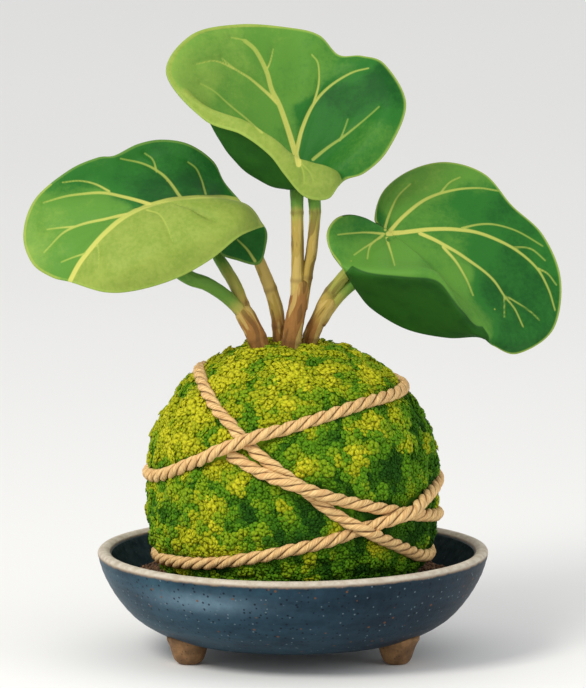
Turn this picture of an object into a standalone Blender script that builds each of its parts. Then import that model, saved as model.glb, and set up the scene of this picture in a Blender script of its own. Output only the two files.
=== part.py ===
"""Kokedama moss ball plant in a glazed footed dish.

Run with: blender --background --python part.py
Everything is in metres, +Z up. The origin is on the surface that the feet stand on,
under the middle of the dish. Sizes below are in millimetres and MM turns them into metres.
"""
import math

import bmesh
import bpy
from mathutils import Vector

MM = 0.001
GAP = 0.3                      # clearance between pieces that touch

# Dish: a shallow round stoneware bowl, 145 mm across the lip
DISH_RADIUS = 72.3
DISH_HEIGHT = 39.2
DISH_BASE_Z = 6.7
DISH_SIDES = 48

# Feet: three stubs of bare clay, luted under the dish
FOOT_CIRCLE = 44.2
FOOT_SIDES = 24

# Soil bed that fills the dish
BED_TOP_Z = 29.7

# Moss ball: its firm body; the soft tips of the moss stand PILE proud of it
PILE = 3.0
BALL_SIDES = 40
MOSS_THICKNESS = 5.5
CROWN_X = -3.0                 # the stems come out a little to the left of the middle
CROWN_RADIUS = 13.8

# Twine: one three-ply jute cord
TWINE_DIAMETER = 4.8
TWINE_STEP = 10.0              # distance between the points of its tube
TWINE_LIFT = 5.4               # how much higher a strand rides where it crosses another

LEAF_THICKNESS = 1.1


# ---------------------------------------------------------------- helpers

def clear_scene():
    for obj in list(bpy.data.objects):
        bpy.data.objects.remove(obj, do_unlink=True)


def make_material(name, colour, roughness, metallic=0.0):
    material = bpy.data.materials.new(name)
    material.use_nodes = True
    shader = material.node_tree.nodes["Principled BSDF"]
    shader.inputs["Base Color"].default_value = (*colour, 1.0)
    shader.inputs["Roughness"].default_value = roughness
    shader.inputs["Metallic"].default_value = metallic
    return material


def add_mesh(name, bm, material, smooth=True):
    """Turn a bmesh in millimetres into a named object in metres."""
    bmesh.ops.scale(bm, vec=(MM, MM, MM), verts=bm.verts)
    mesh = bpy.data.meshes.new(name)
    bm.to_mesh(mesh)
    bm.free()
    if smooth:
        mesh.shade_smooth()
        mesh.set_sharp_from_angle(angle=math.radians(40))
    obj = bpy.data.objects.new(name, mesh)
    bpy.context.collection.objects.link(obj)
    if material is not None:
        mesh.materials.append(material)
    return obj


def turn(profile, sides, centre=(0.0, 0.0)):
    """Spin a profile of (radius, height) points round a vertical axis into a closed solid."""
    bm = bmesh.new()
    points = [bm.verts.new((centre[0] + r, centre[1], z)) for r, z in profile]
    edges = [bm.edges.new(pair) for pair in zip(points, points[1:])]
    if profile[0][0] > 0.0:
        edges.append(bm.edges.new((points[-1], points[0])))
    bmesh.ops.spin(bm, geom=points + edges, cent=(centre[0], centre[1], 0.0), axis=(0, 0, 1),
                   angle=math.tau, steps=sides, use_merge=True)
    bmesh.ops.remove_doubles(bm, verts=bm.verts, dist=0.0005)
    bmesh.ops.dissolve_degenerate(bm, edges=bm.edges, dist=0.0005)
    bmesh.ops.recalc_face_normals(bm, faces=bm.faces)
    return bm


def blend(a, b, c, d, t):
    """Catmull-Rom: a smooth curve from b to c, with a and d as its neighbours."""
    return 0.5 * (2 * b + (c - a) * t + (2 * a - 5 * b + 4 * c - d) * t * t
                  + (3 * b - a - 3 * c + d) * t ** 3)


def smooth_open(points, pieces):
    """A smooth open curve through the points, with the given pieces between each pair."""
    padded = [2 * points[0] - points[1], *points, 2 * points[-1] - points[-2]]
    curve = []
    for a, b, c, d in zip(padded, padded[1:], padded[2:], padded[3:]):
        curve += [blend(a, b, c, d, i / pieces) for i in range(pieces)]
    return curve + [points[-1]]


def smooth_closed(points, pieces):
    """A smooth closed curve through the points."""
    count = len(points)
    curve = []
    for k in range(count):
        a, b, c, d = (points[(k + j) % count] for j in (-1, 0, 1, 2))
        curve += [blend(a, b, c, d, i / pieces) for i in range(pieces)]
    return curve


def evenly(points, step):
    """The same path with points about one step apart."""
    lengths = [0.0]
    for a, b in zip(points, points[1:]):
        lengths.append(lengths[-1] + (b - a).length)
    count = max(2, round(lengths[-1] / step))
    result = []
    k = 0
    for i in range(count + 1):
        target = lengths[-1] * i / count
        while k < len(points) - 2 and lengths[k + 1] < target:
            k += 1
        span = lengths[k + 1] - lengths[k]
        share = (target - lengths[k]) / span if span else 0.0
        result.append(points[k].lerp(points[k + 1], min(share, 1.0)))
    return result


def add_tube(name, points, radii, material, bevel_resolution):
    """A round tube with flat ends, as a curve with a bevel."""
    data = bpy.data.curves.new(name, "CURVE")
    data.dimensions = "3D"
    data.bevel_depth = MM
    data.bevel_resolution = bevel_resolution
    data.use_fill_caps = True
    data.twist_mode = "MINIMUM"
    spline = data.splines.new("POLY")
    spline.points.add(len(points) - 1)
    for target, point, radius in zip(spline.points, points, radii):
        target.co = (*(point * MM), 1.0)
        target.radius = radius
    spline.use_smooth = True
    data.materials.append(material)
    obj = bpy.data.objects.new(name, data)
    bpy.context.collection.objects.link(obj)
    return obj


def cut(obj, cutter_bm, name):
    """Cut a hidden cutter out of an object."""
    cutter = add_mesh(name, cutter_bm, None, smooth=False)
    cutter.hide_render = True
    cutter.display_type = "WIRE"
    modifier = obj.modifiers.new(name, "BOOLEAN")
    modifier.operation = "DIFFERENCE"
    modifier.object = cutter


# ---------------------------------------------------------------- dish, feet and bed

# Outer wall from the underside up to the lip, as (radius, height)
DISH_OUTSIDE = [(41.0, DISH_BASE_Z), (46.5, 8.0), (52.0, 10.4), (57.8, 14.0), (62.2, 18.2), (66.6, 24.0),
                (69.9, 30.0), (71.5, 34.4), (DISH_RADIUS, 38.1)]
# Rounded lip and the inner wall down to the middle of the floor
DISH_INSIDE = [(71.4, DISH_HEIGHT), (69.4, 39.0), (67.4, 37.6), (64.7, 34.0), (60.6, 29.4), (54.0, 23.0),
               (45.0, 17.5), (32.0, 15.0), (0.0, 14.5)]
# The bed fills the bowl below the lip and stays GAP clear of its wall
BED_PROFILE = [(0.0, 14.5 + GAP + 0.1), (31.8, 15.5), (44.6, 18.0), (53.4, 23.3), (60.0, 29.4), (59.6, BED_TOP_Z),
               (0.0, BED_TOP_Z)]
FOOT_PROFILE = [(0.0, 0.0), (3.9, 0.0), (5.2, 1.0), (6.1, 3.2), (6.8, 6.0), (7.4, 10.0), (7.5, 14.0), (0.0, 14.0)]


def build_dish():
    glaze = make_material("blue_glaze", (0.045, 0.085, 0.16), 0.28)
    profile = [(0.0, DISH_BASE_Z), *DISH_OUTSIDE, *DISH_INSIDE]
    add_mesh("dish", turn(profile, DISH_SIDES), glaze)


def foot_clearance():
    """The dish's underside, GAP larger all round: it trims the top of each foot."""
    profile = [(0.0, DISH_BASE_Z - GAP), (41.1, DISH_BASE_Z - GAP)]
    profile += [(r + 0.6 * GAP, z - 1.2 * GAP) for r, z in DISH_OUTSIDE[1:6]]
    profile += [(70.0, 40.0), (0.0, 40.0)]
    return turn(profile, DISH_SIDES)


def build_feet():
    clay = make_material("bare_clay", (0.22, 0.11, 0.045), 0.75)
    places = (("dish_foot_left", 210), ("dish_foot_right", 330), ("dish_foot_back", 90))
    for name, angle in places:
        x = FOOT_CIRCLE * math.cos(math.radians(angle))
        y = FOOT_CIRCLE * math.sin(math.radians(angle))
        foot = add_mesh(name, turn(FOOT_PROFILE, FOOT_SIDES, (x, y)), clay)
        cut(foot, foot_clearance(), name + "_trim")


def build_bed():
    soil = make_material("soil_and_grit", (0.12, 0.06, 0.03), 0.9)
    add_mesh("soil_bed", turn(BED_PROFILE, DISH_SIDES), soil)


# ---------------------------------------------------------------- moss ball

# Outline of the ball with its moss tips, as (radius, height), from its foot to its top
BALL_OUTLINE = [(46.5, 30.0), (50.0, 33.0), (53.0, 39.0), (55.2, 49.0), (55.7, 62.0), (55.0, 74.0), (53.4, 82.0),
                (50.3, 89.5), (46.2, 96.5), (40.5, 103.5), (34.0, 109.0), (26.0, 113.7), (17.0, 116.8), (0.0, 118.3)]


def ball_radius(height):
    """Radius of the ball's outline, moss tips included, at a height."""
    for (r0, z0), (r1, z1) in zip(BALL_OUTLINE, BALL_OUTLINE[1:]):
        if z0 <= height <= z1:
            return r0 + (r1 - r0) * (height - z0) / (z1 - z0)
    return BALL_OUTLINE[0][0]


def inset_outline(depth, foot_z):
    """The ball's outline moved in by a depth, cut off flat at its foot and closed on the axis."""
    points = [Vector(point) for point in BALL_OUTLINE]
    result = []
    for k, point in enumerate(points):
        before = points[max(k - 1, 0)]
        after = points[min(k + 1, len(points) - 1)]
        along = (after - before).normalized()
        inward = Vector((-along.y, along.x))
        moved = point + inward * depth
        if moved.y > foot_z + 1.0:
            result.append((max(moved.x, 0.0), moved.y))
    first_r = result[0][0]
    return [(0.0, foot_z), (first_r - 1.5, foot_z), *result[:-1], (0.0, result[-1][1])]


def crown_plug(radius, low, high):
    """A straight round cutter that opens the ball at its crown."""
    return turn([(0.0, low), (radius, low), (radius, high), (0.0, high)], 24, (CROWN_X, 0.0))


def build_ball():
    moss = make_material("moss", (0.11, 0.27, 0.02), 0.95)
    soil = make_material("ball_soil", (0.07, 0.04, 0.025), 0.95)
    root = make_material("root_wood", (0.25, 0.15, 0.08), 0.85)
    bed = BED_TOP_Z + GAP

    # The moss mat: a shell, open at the crown where the stems come out
    outer = inset_outline(PILE, bed)
    wrap = add_mesh("moss_wrap", turn(outer, BALL_SIDES), moss)
    inner = inset_outline(PILE + MOSS_THICKNESS, bed + MOSS_THICKNESS)
    cut(wrap, turn(inner, BALL_SIDES), "moss_wrap_hollow")
    cut(wrap, crown_plug(CROWN_RADIUS, 92.0, 125.0), "moss_wrap_crown")

    # The soil ball fills the moss, with a pocket for the root mass and the stems
    core = inset_outline(PILE + MOSS_THICKNESS + GAP + 0.2, bed + MOSS_THICKNESS + GAP)
    ball = add_mesh("soil_ball", turn(core, 28), soil)
    cut(ball, crown_plug(CROWN_RADIUS + 0.4, 60.0, 125.0), "soil_ball_pocket")

    # The root mass: a woody crown over a knot of roots, packed in the pocket
    roots = [(0.0, 60.0 + GAP), (7.0, 61.5), (11.5, 67.0), (CROWN_RADIUS - 0.2, 76.0), (12.6, 85.0),
             (CROWN_RADIUS - 0.2, 94.0), (12.9, 98.0), (0.0, 98.0)]
    add_mesh("root_mass", turn(roots, 20, (CROWN_X, 0.0)), root)


# ---------------------------------------------------------------- twine

# Route of the cord: (angle round the ball in degrees, height, layer). Angle 0 is +X, 270 is the front (-Y).
# Layer 1 rides over the strand that it crosses. It starts with the end tucked under the long upper
# strand at the front and ends at the back, tucked down beside the strand that it crosses there.
TWINE_ROUTE = [
    (243, 83, 0), (249, 80.5, 0), (256, 77.3, 0.1), (263, 75, 0.75), (269, 73, 1), (276, 70.8, 1), (283, 68.3, 0.7),
    (291, 65.8, 0.1), (302, 63, 0), (314, 60, 0), (326, 57.3, 0), (347, 54, 0), (368, 52, 0), (385, 49.6, 0),
    (402, 46.8, 0.2), (413, 45, 1), (424, 43.6, 0.2), (440, 41.6, 0), (458, 40, 0), (484, 38.3, 0), (512, 37.3, 0),
    (540, 37, 0), (563, 37.9, 0), (583, 39.4, 0), (602, 42, 0), (619, 45.3, 0), (634, 48.7, 0), (646, 51.5, 0),
    (658, 54.7, 0), (667, 57, 0.55), (674, 58.7, 1), (680, 60, 1), (688, 61.7, 0.5), (703, 64, 0), (722, 66, 0),
    (750, 67, 0), (781, 67.5, 0), (803, 67.5, 0), (815, 67.5, 0.6), (823, 67.5, 1), (831, 67.5, 0.6), (843, 67.3, 0),
    (871, 67.6, 0), (900, 68.3, 0), (917, 69.5, 0),
    (930, 72.5, 0), (943, 77.3, 0.1), (952, 80.2, 0.55), (959, 82.9, 1), (965, 85.2, 1), (971, 87.7, 1),
    (978, 90.2, 0.7), (986, 92.6, 0.15), (998, 95.6, 0), (1012, 98.3, 0), (1027, 100.3, 0), (1044, 101.2, 0),
    (1063, 101.4, 0), (1090, 101.4, 0), (1120, 101.8, 0), (1155, 102.8, 0), (1190, 104.4, 0), (1225, 106.2, 0),
    (1256, 107.4, 0), (1278, 106.6, 0), (1296, 103.2, 0), (1310, 98.2, 0), (1320, 93.8, 0), (1330, 87.3, 0),
    (1338, 82, 0), (1346, 76.7, 0), (1354, 71.2, 0), (1360, 66, 0), (1368, 60.3, 0), (1373, 57.3, 0.5),
    (1378, 54.7, 1), (1383, 52.3, 0.6), (1391, 48.8, 0.1), (1402, 44.4, 0), (1417, 39.8, 0), (1436, 37.6, 0),
    (1456, 38.3, 0), (1476, 41.5, 0), (1493, 45.5, 0), (1509, 51, 0), (1522, 57, 0), (1532, 62, 0), (1541, 67, 0),
    (1549, 72, 0),
]


def cord_surface(angle, height, layer):
    """A point on the cord's centre line: on the moss body, or one cord higher where it crosses."""
    sag = TWINE_STEP ** 2 / (8 * 55.0)
    clear = TWINE_DIAMETER / 2 + GAP + sag - PILE
    slope = (ball_radius(height + 1.0) - ball_radius(height - 1.0)) / 2.0
    tilt = math.atan(-slope)
    out = clear + layer * TWINE_LIFT
    radius = ball_radius(height) + out * math.cos(tilt)
    turn_angle = math.radians(angle)
    return Vector((radius * math.cos(turn_angle), radius * math.sin(turn_angle), height + out * math.sin(tilt)))


def build_twine():
    jute = make_material("jute", (0.62, 0.40, 0.19), 0.85)
    stations = smooth_open([Vector(station) for station in TWINE_ROUTE], 6)
    path = [cord_surface(*station) for station in stations]
    points = evenly(path, TWINE_STEP)
    radii = [TWINE_DIAMETER / 2] * len(points)
    add_tube("twine", points, radii, jute, 2)


# ---------------------------------------------------------------- stems

# Unforked and lower stems: centre line points (x, y, z) and the radius at the two ends
STEMS = {
    "stem_left": ([(-11.5, -3.5, 99), (-11.8, -3.5, 112), (-13.6, -3.2, 121), (-19, -2.4, 130)], 3.7, 4.5),
    "stem_left_inner": ([(-6, 6, 99), (-5.2, 5, 112), (-5.4, 3.8, 122), (-6.9, 3.4, 131.5), (-10.2, 3.6, 141.5)], 2.6, 2.1),
    "stem_centre": ([(-1.8, -4.5, 99), (-1.4, -4.2, 112), (0.2, -4, 124), (3, -3.2, 139)], 3.8, 4.4),
    "stem_right": ([(4.6, 2.6, 99), (5.2, 1.9, 112), (7, 1, 122), (12.2, 0, 132)], 2.9, 4.2),
}
# Petioles: the stem that each springs from, how far to the side of its axis (x, z), the rest of its centre
# line, and the radius at the two ends
PETIOLES = {
    "petiole_left_outer": ("stem_left", -2.2, [(-33, -3, 141.5), (-40, -5, 149), (-44.5, -6.5, 158),
                                               (-46, -7, 166.5)], 2.05, 1.7),
    "petiole_left_middle": ("stem_left", 2.3, [(-20.5, 3.5, 140), (-24.5, 8, 149), (-29, 9, 159),
                                               (-31.5, 7.5, 167)], 2.1, 1.7),
    "petiole_top_left": ("stem_centre", -2.25, [(0.6, -3.8, 152), (0.4, -3.4, 163), (0.8, -1.5, 172)], 2.15, 1.9),
    "petiole_top_right": ("stem_centre", 2.2, [(7, -2.8, 152), (7.8, -2.4, 163), (6.6, -1.4, 172.5)], 2.0, 1.7),
    "petiole_right_upper": ("stem_right", -2.15, [(17, -1.6, 141), (22.5, -1.8, 146.5), (29, -1, 150.5)], 2.0, 1.7),
    "petiole_right_lower": ("stem_right", 2.1, [(20.5, 0.6, 137), (26, 0.6, 140.2), (32, -1.5, 143)], 1.9, 1.6),
}
PETIOLE_STRAIGHT = 3.0         # how far a petiole runs on along its stem's axis before it bends away
FORK_GAP = GAP + 0.35          # the same clearance, with room for the bend


def add_stem(name, route, base_radius, end_radius, material):
    points = smooth_open(route, 3)
    last = len(points) - 1
    radii = [base_radius + (end_radius - base_radius) * k / last for k in range(last + 1)]
    add_tube(name, points, radii, material, 3)
    return points


def build_stems():
    bark = make_material("bark", (0.30, 0.15, 0.06), 0.8)
    green = make_material("petiole_green", (0.22, 0.36, 0.09), 0.5)
    stems = {}
    for name, (route, base_radius, end_radius) in STEMS.items():
        stems[name] = add_stem(name, [Vector(point) for point in route], base_radius, end_radius, bark)
    for name, (stem, side, route, base_radius, end_radius) in PETIOLES.items():
        top = stems[stem][-1]
        axis = (top - stems[stem][-2]).normalized()
        across = axis.cross(Vector((0, 1, 0))).normalized()
        start = top + axis * FORK_GAP - across * side
        route = [start, start + axis * PETIOLE_STRAIGHT, *(Vector(point) for point in route)]
        add_stem(name, route, base_radius, end_radius, green)


# ---------------------------------------------------------------- leaves

# Each leaf is a thin blade, drawn as spokes from its hub: (inner point, shoulder, rim), each (x, y, z).
# The spokes go round the hub, and the blade runs smoothly through all of them.
TOP_HUB = (1.5, 0, 176)
TOP_SPOKES = [
    ((-25.5, 2, 204), (-42, -5, 216.5), (-46.5, -6, 218.5)),
    ((-18, 8, 205), (-33.5, 6, 226), (-37.5, 8, 230.5)),
    ((-8.5, 12, 206.5), (-18, 15, 227.5), (-20, 18, 233)),
    ((0.5, 13, 206), (-1.5, 19, 224.5), (-1.5, 22, 231.2)),
    ((5, 12.5, 204.5), (7.5, 18, 222), (9.5, 21, 228.6)),
    ((9, 12, 202.5), (14, 16.5, 216.6), (16.8, 19.5, 221.4)),
    ((13, 10, 200.5), (21, 14.5, 216.2), (25.5, 17, 221.4)),
    ((17.5, 8, 198.5), (28.5, 11, 213), (34, 14, 218.5)),
    ((21, 3, 192.5), (34, 3, 204.5), (41.5, 4, 205.5)),
    ((17.5, -2, 186), (28.5, -4, 192.5), (35, -4, 190)),
    ((13.5, -4, 182), (20.5, -6, 184.5), (26.5, -6, 181.7)),
    ((12, -5.5, 179.5), (16.5, -8, 181.4), (19.5, -8.5, 179.5)),
    ((9.5, -9.5, 178.5), (15, -16, 183.4), (16.6, -18, 178.4)),
    ((7.5, -10.5, 177.5), (11.5, -19.5, 185.6), (13.2, -22, 174.6)),
    ((3.5, -11, 176.5), (6, -22, 187.6), (7.6, -25.5, 174.6)),
    ((-0.5, -11, 176.3), (2, -23.5, 189.2), (2.6, -27, 177.2)),
    ((-4, -11, 176.8), (-1.9, -24.3, 191.7), (-3.2, -27.5, 184.4)),
    ((-10.5, -10, 178.5), (-6.8, -25, 195.8), (-8.8, -28, 191.8)),
    ((-20.5, -9, 185), (-17.5, -23, 202.4), (-19, -26, 199)),
    ((-26.5, -5, 194), (-31.5, -16, 206.6), (-33, -18, 203.5)),
]

LEFT_HUB = (-46, -8, 170.5)
LEFT_SPOKES = [
    ((-29, -2.5, 167.5), (-17, 1, 157.5), (-12.8, -0.5, 146.6)),
    ((-29.5, -3, 166.5), (-22, 1.5, 157.5), (-20.5, 1, 147.8)),
    ((-30, -4, 166), (-26, 0, 159.5), (-27, 2, 150.5)),
    ((-31, -6, 167.5), (-27, -4, 164), (-28, 0, 158.5)),
    ((-32.5, -9, 172.4), (-17.8, -7.5, 169.8), (-12, -4, 161.2)),
    ((-33, -14, 169.2), (-20, -15.5, 167), (-13.6, -11, 161.4)),
    ((-34, -15.5, 166.5), (-24.5, -20.5, 163), (-20.5, -20, 159.6)),
    ((-37.5, -16, 167.5), (-32, -22, 161.3), (-30.3, -22, 151.9)),
    ((-43.5, -16, 166), (-42, -24, 157), (-42.7, -24, 145.2)),
    ((-49.5, -16, 164.5), (-54, -25, 153.5), (-57, -24, 140.7)),
    ((-55, -15, 163.5), (-65, -23, 149.5), (-69, -22, 139.5)),
    ((-60, -11, 166), (-73, -15, 156), (-82, -14, 142)),
    ((-62.5, -7.5, 166), (-79, -10, 154.2), (-89, -10, 143.2)),
    ((-64.5, -5, 165.5), (-86, -6, 154.5), (-96.3, -6, 147.8)),
    ((-66.5, -3, 167), (-88.5, 0, 160), (-99.5, 0, 157.5)),
    ((-65, 0, 169.5), (-85, 6, 168.5), (-95.3, 7, 169.4)),
    ((-61, 2, 171.5), (-75.5, 12, 174.5), (-83, 15, 178.8)),
    ((-57.5, 3.5, 173), (-66.5, 15, 177.3), (-72.5, 18.5, 183)),
    ((-54.5, 4.2, 173.4), (-61, 16, 178.6), (-66, 19, 183.8)),
    ((-50.5, 5, 174), (-54.5, 18, 181.4), (-57.5, 21, 187.7)),
    ((-46, 5, 174.5), (-47, 18, 182.5), (-48.5, 22, 189.2)),
    ((-41, 4.5, 174), (-38.5, 17, 180.5), (-38.5, 21, 187.6)),
    ((-37, 4, 173), (-31.5, 15, 176.5), (-29.7, 19, 181.6)),
    ((-34, 2, 171.5), (-27.5, 11, 171.5), (-25.2, 15, 173.8)),
    ((-32, -0.5, 170), (-23, 7, 165), (-16, 7, 162.5)),
    ((-30.5, -1.5, 168.8), (-18, 3.5, 162), (-10.9, 3, 157.2)),
    ((-29.5, -2, 168), (-17, 2.5, 160), (-11.1, 1.5, 151.8)),
]

RIGHT_HUB = (38, 0, 156)
RIGHT_SPOKES = [
    ((34, 3, 159), (32, 5, 160.5), (30.5, 6, 162)),
    ((35, 7, 164), (34, 11, 168), (33.5, 14, 171)),
    ((39.5, 10, 167), (42, 16, 174.5), (43.5, 20, 178)),
    ((46.5, 12, 168.5), (54.5, 20, 176), (57, 24, 180.5)),
    ((52.5, 12, 165.5), (65.5, 19, 172.5), (71, 24, 176)),
    ((57.5, 10, 161.5), (73, 16, 163), (81, 20, 165)),
    ((60, 6, 156.5), (83.5, 12, 152.5), (92.5, 16, 154.5)),
    ((61, 0, 150), (88, 4, 138.5), (99, 8, 139)),
    ((59, -6, 144.5), (85, -6, 124.5), (96, -2, 122)),
    ((54.5, -10, 142), (78.5, -13, 122), (83, -10, 114.6)),
    ((53, -12, 143.5), (71.5, -17, 124.5), (74, -14.5, 118.3)),
    ((51.5, -14, 145.5), (66.5, -20, 126), (68.6, -17, 121.9)),
    ((49, -15, 148.5), (61, -25, 133.5), (57.5, -9, 120.4)),
    ((45, -15, 149.5), (53.5, -27, 144), (42.5, -4, 122.7)),
    ((39.5, -14, 149.5), (40.5, -26, 145.7), (30, -2, 129.6)),
    ((34, -12, 150.5), (28, -22, 146.3), (24, -6, 137)),
    ((30.5, -10, 151.5), (21, -17.5, 148), (18.6, -17, 147.2)),
    ((29, -8, 152.5), (18, -13.5, 151.5), (13.8, -12.5, 153.6)),
    ((27.5, -5.5, 155.5), (17.5, -9, 158), (12.9, -9, 159.5)),
    ((29, -4, 157), (20, -6, 161.6), (15.8, -6, 163.8)),
    ((30.5, -3, 158), (24, -4, 163.2), (20.6, -4, 165.2)),
    ((33.5, -1.5, 158), (29.5, -2, 161.3), (26.8, -2, 163.6)),
    ((36.5, 0, 157.3), (35.5, 0, 158.2), (33.8, 0.5, 159.2)),
]

ROUND_PIECES = 2               # facets between two spokes
SPOKE_PIECES = 2               # facets between two points of a spoke


def leaf_rows(hub, spokes):
    """Rows of points that go round the leaf, from just outside the hub to the rim."""
    rings = [[Vector(spoke[k]) for spoke in spokes] for k in range(3)]
    rings = [smooth_closed(ring, ROUND_PIECES) for ring in rings]
    centre = Vector(hub)
    columns = [smooth_open([centre, *points], SPOKE_PIECES)[1:] for points in zip(*rings)]
    return [list(row) for row in zip(*columns)]


def grid_normals(hub, rows):
    """Upper-side normals of a leaf, one for each point."""
    count = len(rows[0])
    inner_rows = [[Vector(hub)] * count, *rows[:-1]]
    outer_rows = [*rows[1:], rows[-1]]
    normals = []
    for row, inner, outer in zip(rows, inner_rows, outer_rows):
        line = []
        for k in range(count):
            outward = outer[k] - inner[k]
            around = row[(k + 1) % count] - row[k - 1]
            line.append(around.cross(outward).normalized())
        normals.append(line)
    return normals


def build_leaf(name, hub, spokes, material):
    rows = leaf_rows(hub, spokes)
    normals = grid_normals(hub, rows)
    hub_point = Vector(hub)
    hub_normal = sum(normals[0], Vector()).normalized()
    half = LEAF_THICKNESS / 2
    bm = bmesh.new()
    sides = []
    for side in (half, -half):
        pole = bm.verts.new(hub_point + hub_normal * side)
        grid = []
        for row, line in zip(rows, normals):
            grid.append([bm.verts.new(point + normal * side) for point, normal in zip(row, line)])
        sides.append((pole, grid))
    count = len(rows[0])
    for pole, grid in sides:
        for k in range(count):
            n = (k + 1) % count
            bm.faces.new((pole, grid[0][k], grid[0][n]))
            for low, high in zip(grid, grid[1:]):
                bm.faces.new((low[k], high[k], high[n], low[n]))
    upper, lower = sides[0][1][-1], sides[1][1][-1]
    for k in range(count):
        n = (k + 1) % count
        bm.faces.new((upper[k], lower[k], lower[n], upper[n]))
    bmesh.ops.triangulate(bm, faces=bm.faces)
    bmesh.ops.recalc_face_normals(bm, faces=bm.faces)
    add_mesh(name, bm, material)


def build_leaves():
    green = make_material("leaf_green", (0.10, 0.30, 0.06), 0.4)
    build_leaf("leaf_top", TOP_HUB, TOP_SPOKES, green)
    build_leaf("leaf_left", LEFT_HUB, LEFT_SPOKES, green)
    build_leaf("leaf_right", RIGHT_HUB, RIGHT_SPOKES, green)


clear_scene()
build_dish()
build_feet()
build_bed()
build_ball()
build_twine()
build_stems()
build_leaves()
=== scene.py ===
import math
from itertools import combinations

import bpy
import numpy as np
from mathutils import Matrix, Vector, noise


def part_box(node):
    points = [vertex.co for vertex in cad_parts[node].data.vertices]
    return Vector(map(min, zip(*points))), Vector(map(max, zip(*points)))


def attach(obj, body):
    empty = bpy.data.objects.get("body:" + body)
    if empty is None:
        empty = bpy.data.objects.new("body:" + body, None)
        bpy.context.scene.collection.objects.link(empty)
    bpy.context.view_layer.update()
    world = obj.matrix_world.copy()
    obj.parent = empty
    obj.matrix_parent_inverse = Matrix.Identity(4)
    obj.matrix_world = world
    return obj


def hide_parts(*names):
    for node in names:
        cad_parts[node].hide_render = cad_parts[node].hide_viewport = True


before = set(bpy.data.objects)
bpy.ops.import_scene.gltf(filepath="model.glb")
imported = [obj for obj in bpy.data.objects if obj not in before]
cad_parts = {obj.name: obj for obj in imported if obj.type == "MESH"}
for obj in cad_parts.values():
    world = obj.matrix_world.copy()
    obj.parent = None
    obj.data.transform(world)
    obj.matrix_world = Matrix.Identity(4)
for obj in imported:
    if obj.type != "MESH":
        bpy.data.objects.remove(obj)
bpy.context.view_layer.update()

# ---------------------------------------------------------------- studio
# A pale seamless floor under an even white surround, with one large soft light high on the left and a weak
# one on the right. The camera stands well back with a long lens and looks a little down at the object.
MM = 0.001
CAMERA_RISE = math.radians(9.2)
CAMERA_DISTANCE = 6.5
FRAME_HEIGHT = 0.2557          # metres of the object, from the bottom of the view to its top
SENSOR = 36.0
AIM_HEIGHT = 0.1148            # the middle of the view, measured square to the line of sight
LIGHTS_AIM = (0, 0, 0.11)


def aimed(location, target):
    """The turn that points a camera or a light at a target."""
    return (Vector(target) - Vector(location)).to_track_quat("-Z", "Y").to_euler()


view_up = Vector((0, math.sin(CAMERA_RISE), math.cos(CAMERA_RISE)))
aim = view_up * AIM_HEIGHT
eye = aim + Vector((0, -math.cos(CAMERA_RISE), math.sin(CAMERA_RISE))) * CAMERA_DISTANCE
camera = bpy.data.objects.new("camera", bpy.data.cameras.new("camera"))
camera.data.lens = SENSOR * CAMERA_DISTANCE / FRAME_HEIGHT
camera.data.sensor_width = SENSOR
camera.data.clip_end = 50
camera.location = eye
camera.rotation_euler = aimed(eye, aim)
bpy.context.collection.objects.link(camera)
bpy.context.scene.camera = camera
bpy.context.scene.view_settings.view_transform = "Standard"


def soft_light(name, location, size, power, colour):
    """A square soft box that faces the object."""
    data = bpy.data.lights.new(name, "AREA")
    data.size = size
    data.energy = power
    data.color = colour
    light = bpy.data.objects.new(name, data)
    light.location = location
    light.rotation_euler = aimed(location, LIGHTS_AIM)
    bpy.context.collection.objects.link(light)


soft_light("key_light", (-0.75, -0.85, 1.05), 0.5, 14.0, (1.0, 0.97, 0.91))
soft_light("fill_light", (1.1, -0.6, 0.5), 0.9, 2.5, (0.93, 0.97, 1.0))

world = bpy.data.worlds.new("white_surround")
world.use_nodes = True
surround = world.node_tree.nodes["Background"].inputs
surround["Color"].default_value = (1.0, 1.0, 1.0, 1.0)
surround["Strength"].default_value = 0.80
bpy.context.scene.world = world


class Wire:
    """One socket in a node tree, with Python's own operators for its maths."""

    def __init__(self, nodes, socket):
        self.nodes = nodes
        self.socket = socket

    def maths(self, operation, first, second=0.0):
        return self.nodes.add("ShaderNodeMath", {"operation": operation}, {0: first, 1: second})

    def __add__(self, other):
        return self.maths("ADD", self, other)

    def __radd__(self, other):
        return self.maths("ADD", other, self)

    def __sub__(self, other):
        return self.maths("SUBTRACT", self, other)

    def __rsub__(self, other):
        return self.maths("SUBTRACT", other, self)

    def __mul__(self, other):
        return self.maths("MULTIPLY", self, other)

    def __rmul__(self, other):
        return self.maths("MULTIPLY", other, self)

    def between(self, low, high):
        """0 at low, 1 at high and smooth from one to the other."""
        sockets = {"Value": self, "From Min": low, "From Max": high}
        return self.nodes.add("ShaderNodeMapRange", {"interpolation_type": "SMOOTHSTEP"}, sockets)


class Nodes:
    """A node tree that one method adds every node to."""

    def __init__(self, tree):
        self.tree = tree

    def add(self, kind, settings=None, sockets=None, out=0):
        """One node: its type, its settings, then the values or links of its sockets."""
        node = self.tree.nodes.new(kind)
        for key, value in (settings or {}).items():
            setattr(node, key, value)
        self.feed(node, sockets or {})
        return Wire(self, node.outputs[out])

    def feed(self, node, sockets):
        for key, value in sockets.items():
            socket = node.inputs[key]
            if isinstance(value, Wire):
                self.tree.links.new(value.socket, socket)
            elif socket.type == "RGBA":
                socket.default_value = (*value, 1.0)
            else:
                socket.default_value = value


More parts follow.
